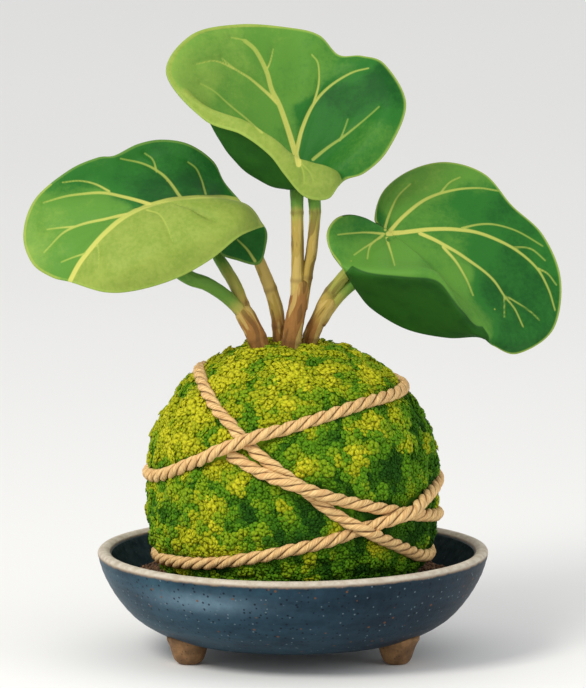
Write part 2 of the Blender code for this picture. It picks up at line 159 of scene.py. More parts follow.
class Finish(Nodes):
    """A material. Its patterns lie in the piece's own place, in metres, or on an attribute of its mesh."""

    def __init__(self, name):
        self.material = bpy.data.materials.new(name)
        self.material.use_nodes = True
        super().__init__(self.material.node_tree)
        self.shader = self.tree.nodes["Principled BSDF"]

    def place(self):
        return self.add("ShaderNodeTexCoord", out=3)

    def stretched(self, vector, scale):
        return self.add("ShaderNodeMapping", None, {"Vector": vector, "Scale": scale})

    def value(self, name, out=2):
        """An attribute of the mesh, as a number (2) or as a vector (1)."""
        return self.add("ShaderNodeAttribute", {"attribute_name": name}, out=out)

    def cloud(self, vector, size, detail=3.0, roughness=0.55):
        """Noise from 0 to 1 with soft patches of about a size in metres."""
        sockets = {"Vector": vector, "Scale": 1.0 / size, "Detail": detail, "Roughness": roughness}
        return self.add("ShaderNodeTexNoise", None, sockets)

    def cells(self, vector, size, out=0):
        """Scattered cells: distance from the middle of each (0) or a colour of its own (1)."""
        return self.add("ShaderNodeTexVoronoi", None, {"Vector": vector, "Scale": 1.0 / size}, out)

    def chance(self, vector, size):
        """A number from 0 to 1 for each of the scattered cells."""
        return self.add("ShaderNodeSeparateColor", None, {"Color": self.cells(vector, size, out=1)})

    def mix(self, first, second, factor):
        return self.add("ShaderNodeMix", {"data_type": "RGBA"}, {0: factor, 6: first, 7: second}, out=2)

    def done(self, colour, roughness, height=None, depth=0.0002, **constants):
        """Feeds the shader and gives the material. depth is the bump's height in metres."""
        self.feed(self.shader, {"Base Color": colour, "Roughness": roughness})
        if height is not None:
            normal = self.add("ShaderNodeBump", None, {"Strength": 1.0, "Distance": depth, "Height": height})
            self.feed(self.shader, {"Normal": normal})
        for key, value in constants.items():
            self.shader.inputs[key.replace("_", " ")].default_value = value
        return self.material


def make_piece(name, points, faces, material, values=None):
    """A mesh object from points in millimetres, with a float or vector attribute for each of its values."""
    mesh = bpy.data.meshes.new(name)
    mesh.from_pydata((np.asarray(points) * MM).tolist(), [], faces)
    for key, data in (values or {}).items():
        data = np.asarray(data, dtype=np.float32)
        kind, field = ("FLOAT", "value") if data.ndim == 1 else ("FLOAT_VECTOR", "vector")
        mesh.attributes.new(key, kind, "POINT").data.foreach_set(field, data.ravel())
    mesh.shade_smooth()
    mesh.materials.append(material)
    piece = bpy.data.objects.new(name, mesh)
    bpy.context.collection.objects.link(piece)
    return piece


def set_for(piece, node):
    """Puts a piece on the one body and hides the CAD node that it stands in for."""
    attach(piece, "root")
    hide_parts(node)


floor_paint = Finish("pale_floor")
floor_cloud = floor_paint.cloud(floor_paint.place(), 0.4, 1.0)
floor_tone = floor_paint.mix((0.83, 0.83, 0.82), (0.86, 0.86, 0.855), floor_cloud)
FLOOR_REACH = 9000.0
floor_corners = [(x * FLOOR_REACH, y * FLOOR_REACH, 0.0) for x, y in ((-1, -1), (1, -1), (1, 1), (-1, 1))]
floor = make_piece("floor", floor_corners, [(0, 1, 2, 3)], floor_paint.done(floor_tone, 0.9))


# ---------------------------------------------------------------- dish
# A shallow stoneware bowl, thrown on a wheel. It is dipped in a blue glaze that speckles where iron in the
# clay bleeds through, pools darker inside and breaks to a pale bare line along the lip. On the outside the
# blue has painted light and shade, lighter on the left and darker on the right, and a painted highlight on
# the left front.
DISH_SIDES = 220
DISH_RADIUS = 72
DISH_STEPS = 7                 # pieces of the section between two of its points
INSIDE_GLAZE_START = 3.2       # millimetres from the lip's crest to the matt glaze
OUTSIDE_LIP_REACH = 0.68       # the bare lip is wider outside: distances from the crest count for less
DISH_OUTSIDE = [(0, 6.7), (30, 6.7), (41, 6.8), (46.5, 8.0), (52.0, 10.4), (57.8, 14.0), (62.2, 18.2),
                (66.6, 24.0), (69.9, 30.0), (71.5, 34.4), (72.1, 36.6)]
DISH_LIP = [(72.3, 38.0), (71.5, 39.1), (69.8, 39.4), (68.2, 38.7), (67.2, 37.5)]
DISH_INSIDE = [(64.7, 34.0), (60.6, 29.2), (54.0, 23.0), (45.0, 17.5), (32.0, 15.0), (0, 14.5)]


def bend(a, b, c, d, t):
    """A Catmull-Rom curve from b to c, which comes from a and goes on to d, at a share t of its way."""
    square = (2 * a - 5 * b + 4 * c - d) * t ** 2
    cube = (3 * b - a - 3 * c + d) * t ** 3
    return 0.5 * (2 * b + (c - a) * t + square + cube)


def unit(vectors):
    """The same vectors, each with a length of 1."""
    return vectors / np.linalg.norm(vectors, axis=-1, keepdims=True)


def with_poles(values):
    """Values for the points of a tube or a dome, with one more for the pole at each end."""
    return np.concatenate([values[:1], values, values[-1:]])


def smooth_path(points, pieces, closed=False):
    """A smooth curve through the points (Catmull-Rom), with so many pieces between each pair."""
    points = np.asarray(points, dtype=float)
    if closed:
        padded = np.concatenate([points[-1:], points, points[:2]])
    else:
        padded = np.concatenate([2 * points[:1] - points[1:2], points, 2 * points[-1:] - points[-2:-1]])
    a, b, c, d = padded[:-3], padded[1:-2], padded[2:-1], padded[3:]
    shape = (1, -1) + (1,) * (points.ndim - 1)
    t = np.linspace(0, 1, pieces, endpoint=False).reshape(shape)
    a, b, c, d = (v[:, None] for v in (a, b, c, d))
    curve = bend(a, b, c, d, t).reshape((-1,) + points.shape[1:])
    return curve if closed else np.concatenate([curve, points[-1:]])


def even_path(points, step):
    """The same path with points one step apart, or as near as comes out even, and the length up to each."""
    lengths = np.concatenate([[0], np.cumsum(np.linalg.norm(np.diff(points, axis=0), axis=1))])
    count = max(2, int(round(lengths[-1] / step)))
    targets = np.linspace(0, lengths[-1], count + 1)
    return np.stack([np.interp(targets, lengths, column) for column in points.T], axis=1), targets


def turned(profile, sides):
    """Rings of points round the vertical axis, one for each (radius, height), and the faces between them.
    The profile's two ends lie on the axis and close it."""
    profile = np.asarray(profile, dtype=float)
    angles = np.linspace(0, math.tau, sides, endpoint=False)
    rings = profile[1:-1]
    x = rings[:, 0, None] * np.cos(angles)
    y = rings[:, 0, None] * np.sin(angles)
    z = np.repeat(rings[:, 1, None], sides, axis=1)
    points = np.stack([x, y, z], axis=2).reshape(-1, 3)
    low, high = [0, 0, profile[0, 1]], [0, 0, profile[-1, 1]]
    return np.concatenate([[low], points, [high]]), capped_faces(len(rings), sides)


def capped_faces(rings, sides):
    """Faces of a grid of rings with a pole before the first and after the last."""
    last = rings * sides + 1
    faces = []
    for k in range(sides):
        n = (k + 1) % sides
        faces.append((0, 1 + n, 1 + k))
        faces.append((last, last - sides + k, last - sides + n))
    for i in range(rings - 1):
        low = 1 + i * sides
        high = low + sides
        faces += [(low + k, low + (k + 1) % sides, high + (k + 1) % sides, high + k) for k in range(sides)]
    return faces


def field(points, size, shift):
    """Smooth noise from about -1 to 1 at each point, with bumps of a size in millimetres."""
    offset = Vector((shift, 1.7 * shift, -shift))
    return np.array([noise.noise(Vector(point) / size + offset) for point in points])


def glaze_finish(name, sheen):
    """The dish's glazes, its bare lip and the speckles, by how far each point is from the lip's crest. The
    outer blue has painted light and shade from left to right and a patch of painted highlight.
    """
    finish = Finish(name)
    place = finish.place()
    inside = finish.value("inside")
    lip = finish.value("lip")
    wide = finish.cloud(place, 0.022, 4.0, 0.6)
    fine = finish.cloud(place, 0.0035, 4.0, 0.65)
    across = finish.add("ShaderNodeSeparateXYZ", None, {"Vector": place})
    brushed = finish.cloud(finish.stretched(place, (1.0, 1.0, 5.0)), 0.030, 4.0, 0.6)
    wash = (wide * 0.45 + brushed * 0.55 + fine * 0.35).between(0.42, 0.84)
    # painted light and shade: the outer blue is lighter on the left, where the light falls, and darker on
    # the right
    left = finish.mix((0.008, 0.028, 0.048), (0.027, 0.074, 0.108), wash)
    right = finish.mix((0.004, 0.010, 0.018), (0.013, 0.030, 0.047), wash)
    blue = finish.mix(left, right, across.between(-0.07, 0.062))
    navy = finish.mix((0.016, 0.028, 0.032), (0.028, 0.045, 0.050), fine.between(0.35, 0.7))
    # painted highlight: a pale grey-blue patch on the left front of the outer wall
    painted_highlight = finish.value("painted_highlight") * (0.5 + fine * 0.9)
    body = finish.mix(finish.mix(blue, (0.125, 0.205, 0.265), painted_highlight), navy, inside)
    black, white, rusty = (0.004, 0.008, 0.016), (0.13, 0.18, 0.21), (0.15, 0.065, 0.028)
    for size, colour, spread in ((0.0019, black, 0.30), (0.0023, white, 0.19), (0.0043, rusty, 0.15)):
        shift = (size * 7, size * 3, 0.0)
        moved = finish.add("ShaderNodeVectorMath", {"operation": "ADD"}, {0: place, 1: shift})
        dots = 1 - finish.cells(moved, size).between(spread * 0.6, spread)
        pick = finish.chance(moved, size).between(0.45, 0.5)
        body = finish.mix(body, colour, dots * pick * (0.85 - 0.65 * inside))
    ragged = lip + fine * 0.9 - 0.45
    pale = finish.mix((0.42, 0.36, 0.28), (0.58, 0.53, 0.44), fine.between(0.3, 0.7))
    rust = finish.mix(pale, (0.16, 0.10, 0.06), ragged.between(1.9, 2.6) * 0.8)
    colour = finish.mix(rust, body, ragged.between(2.4, 3.0))
    rough = 0.80 - ragged.between(1.8, 3.0) * sheen * 5.0 + fine * 0.08
    height = fine * 0.5 + finish.cloud(place, 0.0009, 1.0) * 0.35
    return finish.done(colour, rough, height, 0.00018, Coat_Weight=sheen * 0.4, Coat_Roughness=0.15,
                       Specular_IOR_Level=sheen)


def build_dish():
    profile = smooth_path(DISH_OUTSIDE + DISH_LIP + DISH_INSIDE, DISH_STEPS)
    profile[:, 0] = np.maximum(profile[:, 0], 0)
    profile[[0, -1], 0] = 0
    along = np.concatenate([[0], np.cumsum(np.linalg.norm(np.diff(profile, axis=0), axis=1))])
    crest = (len(DISH_OUTSIDE) + 2) * DISH_STEPS
    from_crest = np.abs(along - along[crest]) * np.where(along < along[crest], OUTSIDE_LIP_REACH, 1.0)
    points, faces = turned(profile, DISH_SIDES)
    angle = np.arctan2(points[:, 1], points[:, 0])
    radius = np.hypot(points[:, 0], points[:, 1])
    throwing = 0.05 * np.sin(points[:, 2] * 2.3 + angle) * (radius > 45)
    oval = 0.25 * np.sin(2 * angle + 0.6) + 0.12 * np.sin(3 * angle)
    scale = 1 + (throwing + oval * radius / DISH_RADIUS) / np.maximum(radius, 1)
    points[:, :2] *= scale[:, None]
    points[:, 2] += 0.18 * np.sin(2 * angle + 2.0) * np.clip((points[:, 2] - 20) / 16, 0, 1)

    def round_rings(values):
        """A value for each point of the section, given to every point of its ring."""
        return np.concatenate([values[:1], np.repeat(values[1:-1], DISH_SIDES), values[-1:]])

    inside = (np.arange(len(profile)) > crest).astype(float)
    # painted highlight: a soft patch high on the left front of the outer wall
    painted_highlight = np.exp(-((angle + 2.10) / 0.30) ** 2 - ((points[:, 2] - 29.5) / 3.6) ** 2)
    values = {"lip": round_rings(from_crest), "inside": round_rings(inside), "painted_highlight": painted_highlight}
    dish = make_piece("glazed_dish", points, faces, glaze_finish("blue_speckled_glaze", 0.08), values)
    dish.data.materials.append(glaze_finish("matt_navy_glaze", 0.0))
    for face in dish.data.polygons:
        corner = face.vertices[0]
        past_lip = values["lip"][corner] > INSIDE_GLAZE_START
        face.material_index = int(values["inside"][corner] > 0.5 and past_lip)
    set_for(dish, "dish")


build_dish()


# ---------------------------------------------------------------- feet
# Three stubs of bare brown clay, rolled by hand and luted to the dish's underside before it was fired. They
# flare where they meet it, and are rubbed flat below.
FOOT_PROFILE = [(0, 0), (2.6, 0), (4.2, 0.5), (5.4, 1.9), (6.2, 4.0), (6.9, 6.5), (7.5, 9.0)]
FOOT_ROOT = [(7.5, 11.0), (7.2, 12.5), (0, 12.5)]
FOOT_SIDES = 72
LUTING = 0.15                  # how far a foot is pressed into the dish's underside


def clay_finish():
    finish = Finish("bare_brown_clay")
    place = finish.place()
    patch = finish.cloud(place, 0.006, 4.0, 0.6)
    grit = finish.cloud(place, 0.0008, 2.0)
    colour = finish.mix((0.115, 0.055, 0.018), (0.34, 0.18, 0.068), patch.between(0.3, 0.72))
    dots = 1 - finish.cells(place, 0.0017).between(0.14, 0.24)
    colour = finish.mix(colour, (0.05, 0.025, 0.012), dots * 0.7)
    return finish.done(colour, 0.62 + grit * 0.2, patch * 0.7 + grit * 0.4, 0.0004)


def dish_underside(radius):
    """Height of the dish's outer surface above the floor at a radius."""
    outline = smooth_path(DISH_OUTSIDE, 6)
    return np.interp(radius, outline[:, 0], outline[:, 1])


def build_feet():
    clay = clay_finish()
    profile = np.concatenate([smooth_path(FOOT_PROFILE, 5), FOOT_ROOT])
    for node in ("dish_foot_left", "dish_foot_right", "dish_foot_back"):
        low, high = (np.array(corner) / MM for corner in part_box(node))
        centre = (low + high) / 2
        points, faces = turned(profile, FOOT_SIDES)
        lump = field(points + centre, 7.0, 3.1) * 0.35 * np.clip(points[:, 2] / 2, 0, 1)
        flare = 1 + 0.12 * np.clip((points[:, 2] - 5.5) / 4, 0, 1) ** 2
        points[:, :2] *= (flare * (1 + lump / 6))[:, None]
        points[:, :2] += centre[:2]
        ceiling = dish_underside(np.hypot(points[:, 0], points[:, 1])) + LUTING
        points[:, 2] = np.clip(points[:, 2], 0, ceiling)
        foot = make_piece(node.replace("dish_", "clay_"), points, faces, clay)
        set_for(foot, node)


build_feet()


# ---------------------------------------------------------------- soil bed
# Brown akadama-like soil and grit, poured in the dish and levelled by hand a little below the lip. The ball
# is bedded on it. Loose crumbs lie on top.
BED_TOP = 29.7
BED_SIDES = 120
BED_WALL = [(0, 15.2), (31.8, 15.6), (44.6, 18.1), (53.4, 23.4), (59.4, 29.0)]
CRUMB_SPACING = 1.25           # least distance between two crumbs, in millimetres
CRUMB_SIZES = (0.9, 2.0)


def soil_finish(name, dark, light):
    finish = Finish(name)
    place = finish.place()
    clod = finish.cloud(place, 0.0022, 4.0, 0.65)
    grain = finish.cloud(place, 0.0005, 2.0)
    shade = finish.chance(place, 0.0021)
    colour = finish.mix(dark, light, (clod * 0.6 + shade * 0.4).between(0.2, 0.8))
    return finish.done(colour, 0.86 + grain * 0.1, clod + grain * 0.4, 0.0006)


def solid_bit(name, points, faces, values=None):
    """A small closed shape to scatter, with no place of its own in the object."""
    bit = make_piece(name, points, faces, bpy.data.materials.new(name + "_blank"), values)
    bit.hide_render = True
    return bit


def crumb():
    """One crumb of soil: a lumpy twenty-faced pebble about 1 mm across."""
    golden = (1 + math.sqrt(5)) / 2
    corners = []
    for a in (-1, 1):
        for b in (-golden, golden):
            corners += [(0, a, b), (a, b, 0), (b, 0, a)]
    corners = np.array(corners, dtype=float)
    points = corners * (0.5 / np.linalg.norm(corners[0]))
    points *= (1 + 0.3 * field(points, 0.45, 5.0))[:, None]
    faces = []
    for trio in combinations(range(len(corners)), 3):
        a, b, c = corners[list(trio)]
        if max(np.linalg.norm(a - b), np.linalg.norm(b - c), np.linalg.norm(c - a)) < 2.1:
            outward = np.dot(np.cross(b - a, c - a), a) > 0
            faces.append(trio if outward else (trio[0], trio[2], trio[1]))
    return solid_bit("crumb", points * (1, 1, 0.8), faces)


def scatter_tree():
    """Geometry nodes that set copies of a bit all over a ground mesh and make them one real mesh."""
    tree = bpy.data.node_groups.new("scatter", "GeometryNodeTree")
    wanted = (("Ground", "NodeSocketGeometry"), ("Bit", "NodeSocketObject"), ("Spacing", "NodeSocketFloat"),
              ("Smallest", "NodeSocketFloat"), ("Largest", "NodeSocketFloat"), ("Lean", "NodeSocketFloat"),
              ("Seed", "NodeSocketInt"), ("Finish", "NodeSocketMaterial"))
    for name, kind in wanted:
        tree.interface.new_socket(name, in_out="INPUT", socket_type=kind)
    tree.interface.new_socket("Result", in_out="OUTPUT", socket_type="NodeSocketGeometry")
    nodes = Nodes(tree)
    start = tree.nodes.new("NodeGroupInput")
    given = {name: Wire(nodes, start.outputs[name]) for name, kind in wanted}
    room = nodes.add("GeometryNodeInputNamedAttribute", {"data_type": "FLOAT"}, {"Name": "room"})
    size = nodes.add("GeometryNodeInputNamedAttribute", {"data_type": "FLOAT"}, {"Name": "size"})
    spread = {"Mesh": given["Ground"], "Distance Min": given["Spacing"], "Density Max": 4.0e6,
              "Density Factor": room, "Seed": given["Seed"]}
    settings = {"distribute_method": "POISSON"}
    points = nodes.add("GeometryNodeDistributePointsOnFaces", settings, spread)
    upright = Wire(nodes, points.socket.node.outputs["Rotation"])
    back = given["Lean"] * -1.0
    low = nodes.add("ShaderNodeCombineXYZ", None, {0: back, 1: back, 2: 0.0})
    high = nodes.add("ShaderNodeCombineXYZ", None, {0: given["Lean"], 1: given["Lean"], 2: math.tau})
    settings = {"data_type": "FLOAT_VECTOR"}
    spin = nodes.add("FunctionNodeRandomValue", settings, {0: low, 1: high, "Seed": given["Seed"]})
    settings = {"rotation_space": "LOCAL"}
    turn = nodes.add("FunctionNodeRotateRotation", settings, {"Rotation": upright, "Rotate By": spin})
    sockets = {2: given["Smallest"], 3: given["Largest"], "Seed": given["Seed"]}
    growth = nodes.add("FunctionNodeRandomValue", {"data_type": "FLOAT"}, sockets, out=1)
    shape = nodes.add("GeometryNodeObjectInfo", None, {"Object": given["Bit"]}, out=4)
    sockets = {"Points": points, "Instance": shape, "Rotation": turn, "Scale": growth * size}
    copies = nodes.add("GeometryNodeInstanceOnPoints", None, sockets)
    real = nodes.add("GeometryNodeRealizeInstances", None, {0: copies})
    coated = nodes.add("GeometryNodeSetMaterial", None, {"Geometry": real, "Material": given["Finish"]})
    finish = tree.nodes.new("NodeGroupOutput")
    nodes.feed(finish, {"Result": coated})
    return tree


SCATTER = scatter_tree()


def scatter(name, ground, bit, material, spacing, sizes, lean, seed):
    """Bits set on a ground mesh, as a plain mesh of their own. The ground is used up."""
    modifier = ground.modifiers.new("scatter", "NODES")
    modifier.node_group = SCATTER
    values = {"Bit": bit, "Spacing": spacing * MM, "Smallest": sizes[0], "Largest": sizes[1], "Lean": lean,
              "Seed": seed, "Finish": material}
    for item in SCATTER.interface.items_tree:
        if item.name in values:
            modifier[item.identifier] = values[item.name]
    ground.update_tag()
    depsgraph = bpy.context.evaluated_depsgraph_get()
    depsgraph.update()
    mesh = bpy.data.meshes.new_from_object(ground.evaluated_get(depsgraph))
    mesh.name = name
    piece = bpy.data.objects.new(name, mesh)
    bpy.context.collection.objects.link(piece)
    bpy.data.objects.remove(ground, do_unlink=True)
    return piece


def build_bed():
    soil = soil_finish("brown_soil", (0.035, 0.016, 0.008), (0.24, 0.125, 0.055))
    top = [(r, BED_TOP) for r in np.linspace(59.0, 0, 60)]
    points, faces = turned(smooth_path(BED_WALL, 6).tolist() + top, BED_SIDES)
    raised = points[:, 2] > BED_TOP - 0.01
    lumps = 0.45 * field(points[raised], 3.2, 1.0) + 0.25 * field(points[raised], 1.4, 9.0)
    points[raised, 2] += lumps - 0.3
    bed = make_piece("soil_in_dish", points, faces, soil)
    radius = np.hypot(points[:, 0], points[:, 1])
    room = (raised & (radius > 44) & (radius < 58.8)).astype(float)
    values = {"room": room, "size": np.ones(len(points))}
    ground = make_piece("crumb_ground", points, faces, soil, values)
    bit = crumb()
    crumbs = scatter("soil_crumbs", ground, bit, soil, CRUMB_SPACING, CRUMB_SIZES, 3.0, 4)
    bpy.data.objects.remove(bit, do_unlink=True)
    set_for(bed, "soil_bed")
    set_for(crumbs, "soil_bed")


build_bed()


# ---------------------------------------------------------------- soil ball and roots
# Inside the moss: a ball of dark peat and clay kneaded round the plant's roots. Both stay as the CAD made
# them, because the moss hides them, and get the finish of wet soil and of fibrous roots.
def root_finish():
    finish = Finish("fibrous_roots")
    strands = finish.cloud(finish.stretched(finish.place(), (1.0, 1.0, 0.2)), 0.0012, 4.0)
    colour = finish.mix((0.10, 0.05, 0.022), (0.42, 0.28, 0.14), strands.between(0.3, 0.7))
    return finish.done(colour, 0.8, strands, 0.0005)


def coat_node(node, material):
    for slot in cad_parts[node].material_slots:
        slot.material = material


coat_node("soil_ball", soil_finish("kneaded_soil", (0.012, 0.008, 0.005), (0.10, 0.062, 0.035)))
coat_node("root_mass", root_finish())


# ---------------------------------------------------------------- twine route
# One three-ply jute cord, wound a little over three and a half times round the ball. Its route is a list of
# (angle round the ball in degrees, height, layer): angle 270 faces the front, and layer 1 rides over the
# strand that it crosses.
TWINE_LIFT = 4.2               # how much higher layer 1 lies than layer 0
TWINE_SINK = 1.8               # how deep the cord's middle lies under the tips of the moss
BALL_OUTLINE = [(46.5, 30.0), (50.0, 33.0), (53.0, 39.0), (55.2, 49.0), (55.7, 62.0), (55.0, 74.0),
                (53.4, 82.0), (50.3, 89.5), (46.2, 96.5), (40.5, 103.5), (34.0, 109.0), (26.0, 113.7),
                (17.0, 116.8), (0.0, 118.3)]
TWINE_ROUTE = [
    (243, 83, 0), (249, 80.5, 0), (256, 77.3, 0.1), (263, 75, 0.75), (269, 73, 1), (276, 70.8, 1),
    (283, 68.3, 0.7), (291, 65.8, 0.1), (302, 63, 0), (314, 60, 0), (326, 57.3, 0), (347, 54, 0),
    (368, 52, 0), (385, 49.6, 0), (402, 46.8, 0.2), (413, 45, 1), (424, 43.6, 0.2), (440, 41.6, 0),
    (458, 40, 0), (484, 38.3, 0), (512, 37.3, 0), (540, 37, 0), (563, 37.9, 0), (583, 39.4, 0),
    (602, 42, 0), (619, 45.3, 0), (634, 48.7, 0), (646, 51.5, 0), (658, 54.7, 0), (667, 57, 0.55),
    (674, 58.7, 1), (680, 60, 1), (688, 61.7, 0.5), (703, 64, 0), (722, 66, 0), (750, 67, 0),
    (781, 67.5, 0), (803, 67.5, 0), (815, 67.5, 0.6), (823, 67.5, 1), (831, 67.5, 0.6), (843, 67.3, 0),
    (871, 67.6, 0), (900, 68.3, 0), (917, 69.5, 0), (930, 72.5, 0), (943, 77.3, 0.1), (952, 80.2, 0.55),
    (959, 82.9, 1), (965, 85.2, 1), (971, 87.7, 1), (978, 90.2, 0.7), (986, 92.6, 0.15), (998, 95.6, 0),
    (1012, 98.3, 0), (1027, 100.3, 0), (1044, 101.2, 0), (1063, 101.4, 0), (1090, 101.4, 0),
    (1120, 101.8, 0), (1155, 102.8, 0), (1190, 104.4, 0), (1225, 106.2, 0), (1256, 107.4, 0),
    (1278, 106.6, 0), (1296, 103.2, 0), (1310, 98.2, 0), (1320, 93.8, 0), (1330, 87.3, 0), (1338, 82, 0),
    (1346, 76.7, 0), (1354, 71.2, 0), (1360, 66, 0), (1368, 60.3, 0), (1373, 57.3, 0.5), (1378, 54.7, 1),
    (1383, 52.3, 0.6), (1391, 48.8, 0.1), (1402, 44.4, 0), (1417, 39.8, 0), (1436, 37.6, 0),
    (1456, 38.3, 0), (1476, 41.5, 0), (1493, 45.5, 0), (1509, 51, 0), (1522, 57, 0), (1532, 62, 0),
    (1541, 67, 0), (1549, 72, 0),
]

ball_heights = np.array([z for r, z in BALL_OUTLINE])
ball_radii = np.array([r for r, z in BALL_OUTLINE], dtype=float)


def ball_radius(height):
    return np.interp(height, ball_heights, ball_radii)


def cord_line(step):
    """The cord's centre line, the outward direction from the ball at each point, and the length so far."""
    stations = smooth_path(TWINE_ROUTE, 14)
    height = stations[:, 1]
    slope = (ball_radius(height + 1.5) - ball_radius(height - 1.5)) / 3.0
    tilt = np.arctan(-slope)
    rise = stations[:, 2] * TWINE_LIFT - TWINE_SINK
    angle = np.radians(stations[:, 0])
    outward = np.stack([np.cos(angle) * np.cos(tilt), np.sin(angle) * np.cos(tilt), np.sin(tilt)], axis=1)
    radius = ball_radius(height)
    on_ball = np.stack([radius * np.cos(angle), radius * np.sin(angle), height], axis=1)
    middle = on_ball + outward * rise[:, None]
    joined, lengths = even_path(np.concatenate([middle, outward], axis=1), step)
    return joined[:, :3], unit(joined[:, 3:]), lengths


# ---------------------------------------------------------------- moss mat
# Living sheet moss, pressed round the soil ball: a spongy mat of cushions, and on it thousands of leafy star
# shoots. The shoots are yellow-green where they are young and stand proud, and dark in the hollows and
# where the twine presses them down. Over this lies painted light, lighter towards the upper left and front
# and darker towards the lower right, and painted shade at the foot of each leaflet.
MOSS_SIDES = 320
MOSS_ROW = 0.75                # from one row of the mat to the next, in millimetres
SHOOT_SPACING = 2.5
SHOOT_SIZES = (1.45, 2.1)
SHOOT_LEAN = 0.22
MOSS_UNDERSIDE = [(0.0, 30.4), (20.0, 30.3), (40.0, 30.2), (45.0, 30.15)]
SHOOT_BANDS = [("moss_shoots_low", 29.9, 58.0), ("moss_shoots_middle", 58.0, 86.0),
               ("moss_shoots_high", 86.0, 130.0)]    # each with its lowest and highest point
MOSS_CUSHIONS = [                  # the large ones in front: across, up the front, younger or older
    (-23, 104, 0.16), (-2, 105, 0.06), (24, 98, 0.12), (-39, 85, 0.12), (-31, 58, 0.30), (27, 79, 0.22),
    (37, 87, 0.16), (18, 70, 0.12), (-38, 43, 0.22), (-9, 49, -0.34), (8, 46, -0.30), (7, 80, -0.30),
    (31, 64, -0.28), (-12, 94, -0.16), (44, 77, -0.12), (20, 55, -0.28), (-20, 47, -0.12), (12, 66, -0.20),
    (38, 97, -0.14),
]
STEM_FEET = [(-11.8, -3.5, 4.1), (-5.6, 5.0, 2.9), (-1.4, -4.2, 4.1), (5.2, 1.9, 3.2)]   # x, y, radius


def moss_finish(name, root_shade):
    finish = Finish(name)
    place = finish.place()
    tone_with_painted_light = finish.value("tone_with_painted_light")
    tip = finish.value("tip")
    fleck = finish.cloud(place, 0.0016, 3.0)
    level = tone_with_painted_light + (fleck - 0.5) * 0.07
    deep = finish.mix((0.016, 0.072, 0.004), (0.040, 0.135, 0.005), level.between(0.06, 0.14))
    leafy = finish.mix(deep, (0.095, 0.235, 0.007), level.between(0.24, 0.30))
    fresh = finish.mix(leafy, (0.200, 0.320, 0.009), level.between(0.43, 0.48))
    young = finish.mix(fresh, (0.350, 0.385, 0.010), level.between(0.58, 0.63))
    bright = finish.mix(young, (0.520, 0.510, 0.018), level.between(0.80, 0.88))
    colour = finish.mix(finish.mix(root_shade, bright, 0.7), bright, tip.between(0.0, 0.6))
    return finish.done(colour, 0.78 + fleck * 0.15, fleck, 0.00015, Specular_IOR_Level=0.1)


def front_view(points):
    """Where points lie as seen from the front: across, and up."""
    rise = math.sin(CAMERA_RISE)
    return np.stack([points[:, 0], points[:, 2] * math.cos(CAMERA_RISE) + points[:, 1] * rise], axis=1)


def moss_tone(points):
    """How young and yellow the moss is at each point, from 0 to 1, with painted light added: lighter towards
    the upper left and front, darker towards the lower right.
    """
    # painted light: lighter towards the upper left and front, darker towards the lower right
    side = (-0.5 * points[:, 0] - 0.2 * points[:, 1] + 1.0 * (points[:, 2] - 78.0)) / 55.0
    patches = 0.60 * field(points, 10.5, 2.0) + 0.58 * field(points, 4.8, 7.0)
    patches += 0.10 * field(points, 2.2, 5.0)
    seen = front_view(points)
    front = np.clip(-points[:, 1] / 30.0, 0, 1)
    for across, up, amount in MOSS_CUSHIONS:
        patches += amount * front * np.exp(-np.sum((seen - (across, up)) ** 2, axis=1) / 75.0)
    return (0.44 + 0.33 * side + patches * 0.85).clip(0, 1)


def shoot():
    """One moss shoot from above: a star of five broad round leaflets, with three more over its middle."""
    points, faces, tips = [], [], []

    def leaflet(angle, reach, width, rise):
        """A round leaflet, domed on top: its foot, two corners, its tip, two corners and the dome."""
        base = len(points)
        along = np.array([math.cos(angle), math.sin(angle), 0.0])
        across = np.array([-math.sin(angle), math.cos(angle), 0.0])
        outline = [(0.0, 0.0, -0.45), (0.42, -0.85, -0.12), (0.82, -0.75, -0.06), (1.0, 0.0, -0.10),
                   (0.82, 0.75, -0.06), (0.42, 0.85, -0.12), (0.62, 0.0, 0.07)]
        for far, wide, high in outline:
            points.append(along * far * reach + across * wide * width + np.array([0.0, 0.0, rise + high]))
        tips.extend([0.0, 0.62, 0.85, 0.95, 0.85, 0.62, 1.0])
        faces.extend([(base + 6, base + k, base + (k + 1) % 6) for k in range(6)])
        faces.extend([(base, base + k + 1, base + k) for k in range(1, 5)])

    for k in range(5):
        leaflet(k * math.tau / 5, 1.30, 0.68, 0.20)
    for k in range(3):
        leaflet((k + 0.5) * math.tau / 3, 0.80, 0.54, 0.34)
    return solid_bit("moss_shoot", points, faces, {"tip": tips})


def distance_to(points, line):
    """Distance of each point from the nearest point of a line."""
    blocks = np.array_split(points, len(points) // 2000 + 1)
    gaps = [np.linalg.norm(block[:, None] - line[None], axis=2).min(axis=1) for block in blocks]
    return np.concatenate(gaps)


def domes(points, size):
    """Rounded cushions of a size in millimetres: about 0.5 on top of each and -0.3 between them."""
    return np.array([0.5 - noise.voronoi(Vector(point) / size)[0][0] for point in points])


def moss_section():
    """The mat's section: out along its underside, then up its skin to the top. With each row goes the
    direction square to the mat there, and whether the row is of the skin."""
    skin = smooth_path(BALL_OUTLINE, 16)
    skin[:, 0] = np.maximum(skin[:, 0], 0)
    skin = even_path(skin, MOSS_ROW)[0]
    along = unit(np.gradient(skin, axis=0))
    below = len(MOSS_UNDERSIDE) - 1
    rows = np.concatenate([MOSS_UNDERSIDE[1:], skin])
    normals = np.concatenate([[(0.0, -1.0)] * below, np.stack([along[:, 1], -along[:, 0]], axis=1)])
    return rows, normals, np.arange(len(rows)) >= below


def moss_rings(section):
    """Each of a section's rows but the last, which is at the pole, turned into a ring."""
    angles = np.linspace(0, math.tau, MOSS_SIDES, endpoint=False)
    ring = np.stack([np.cos(angles), np.sin(angles)], axis=1)
    across = section[:-1, None, :1] * ring[None]
    up = np.repeat(section[:-1, None, 1:], MOSS_SIDES, axis=1)
    return np.concatenate([across, up], axis=2).reshape(-1, 3)


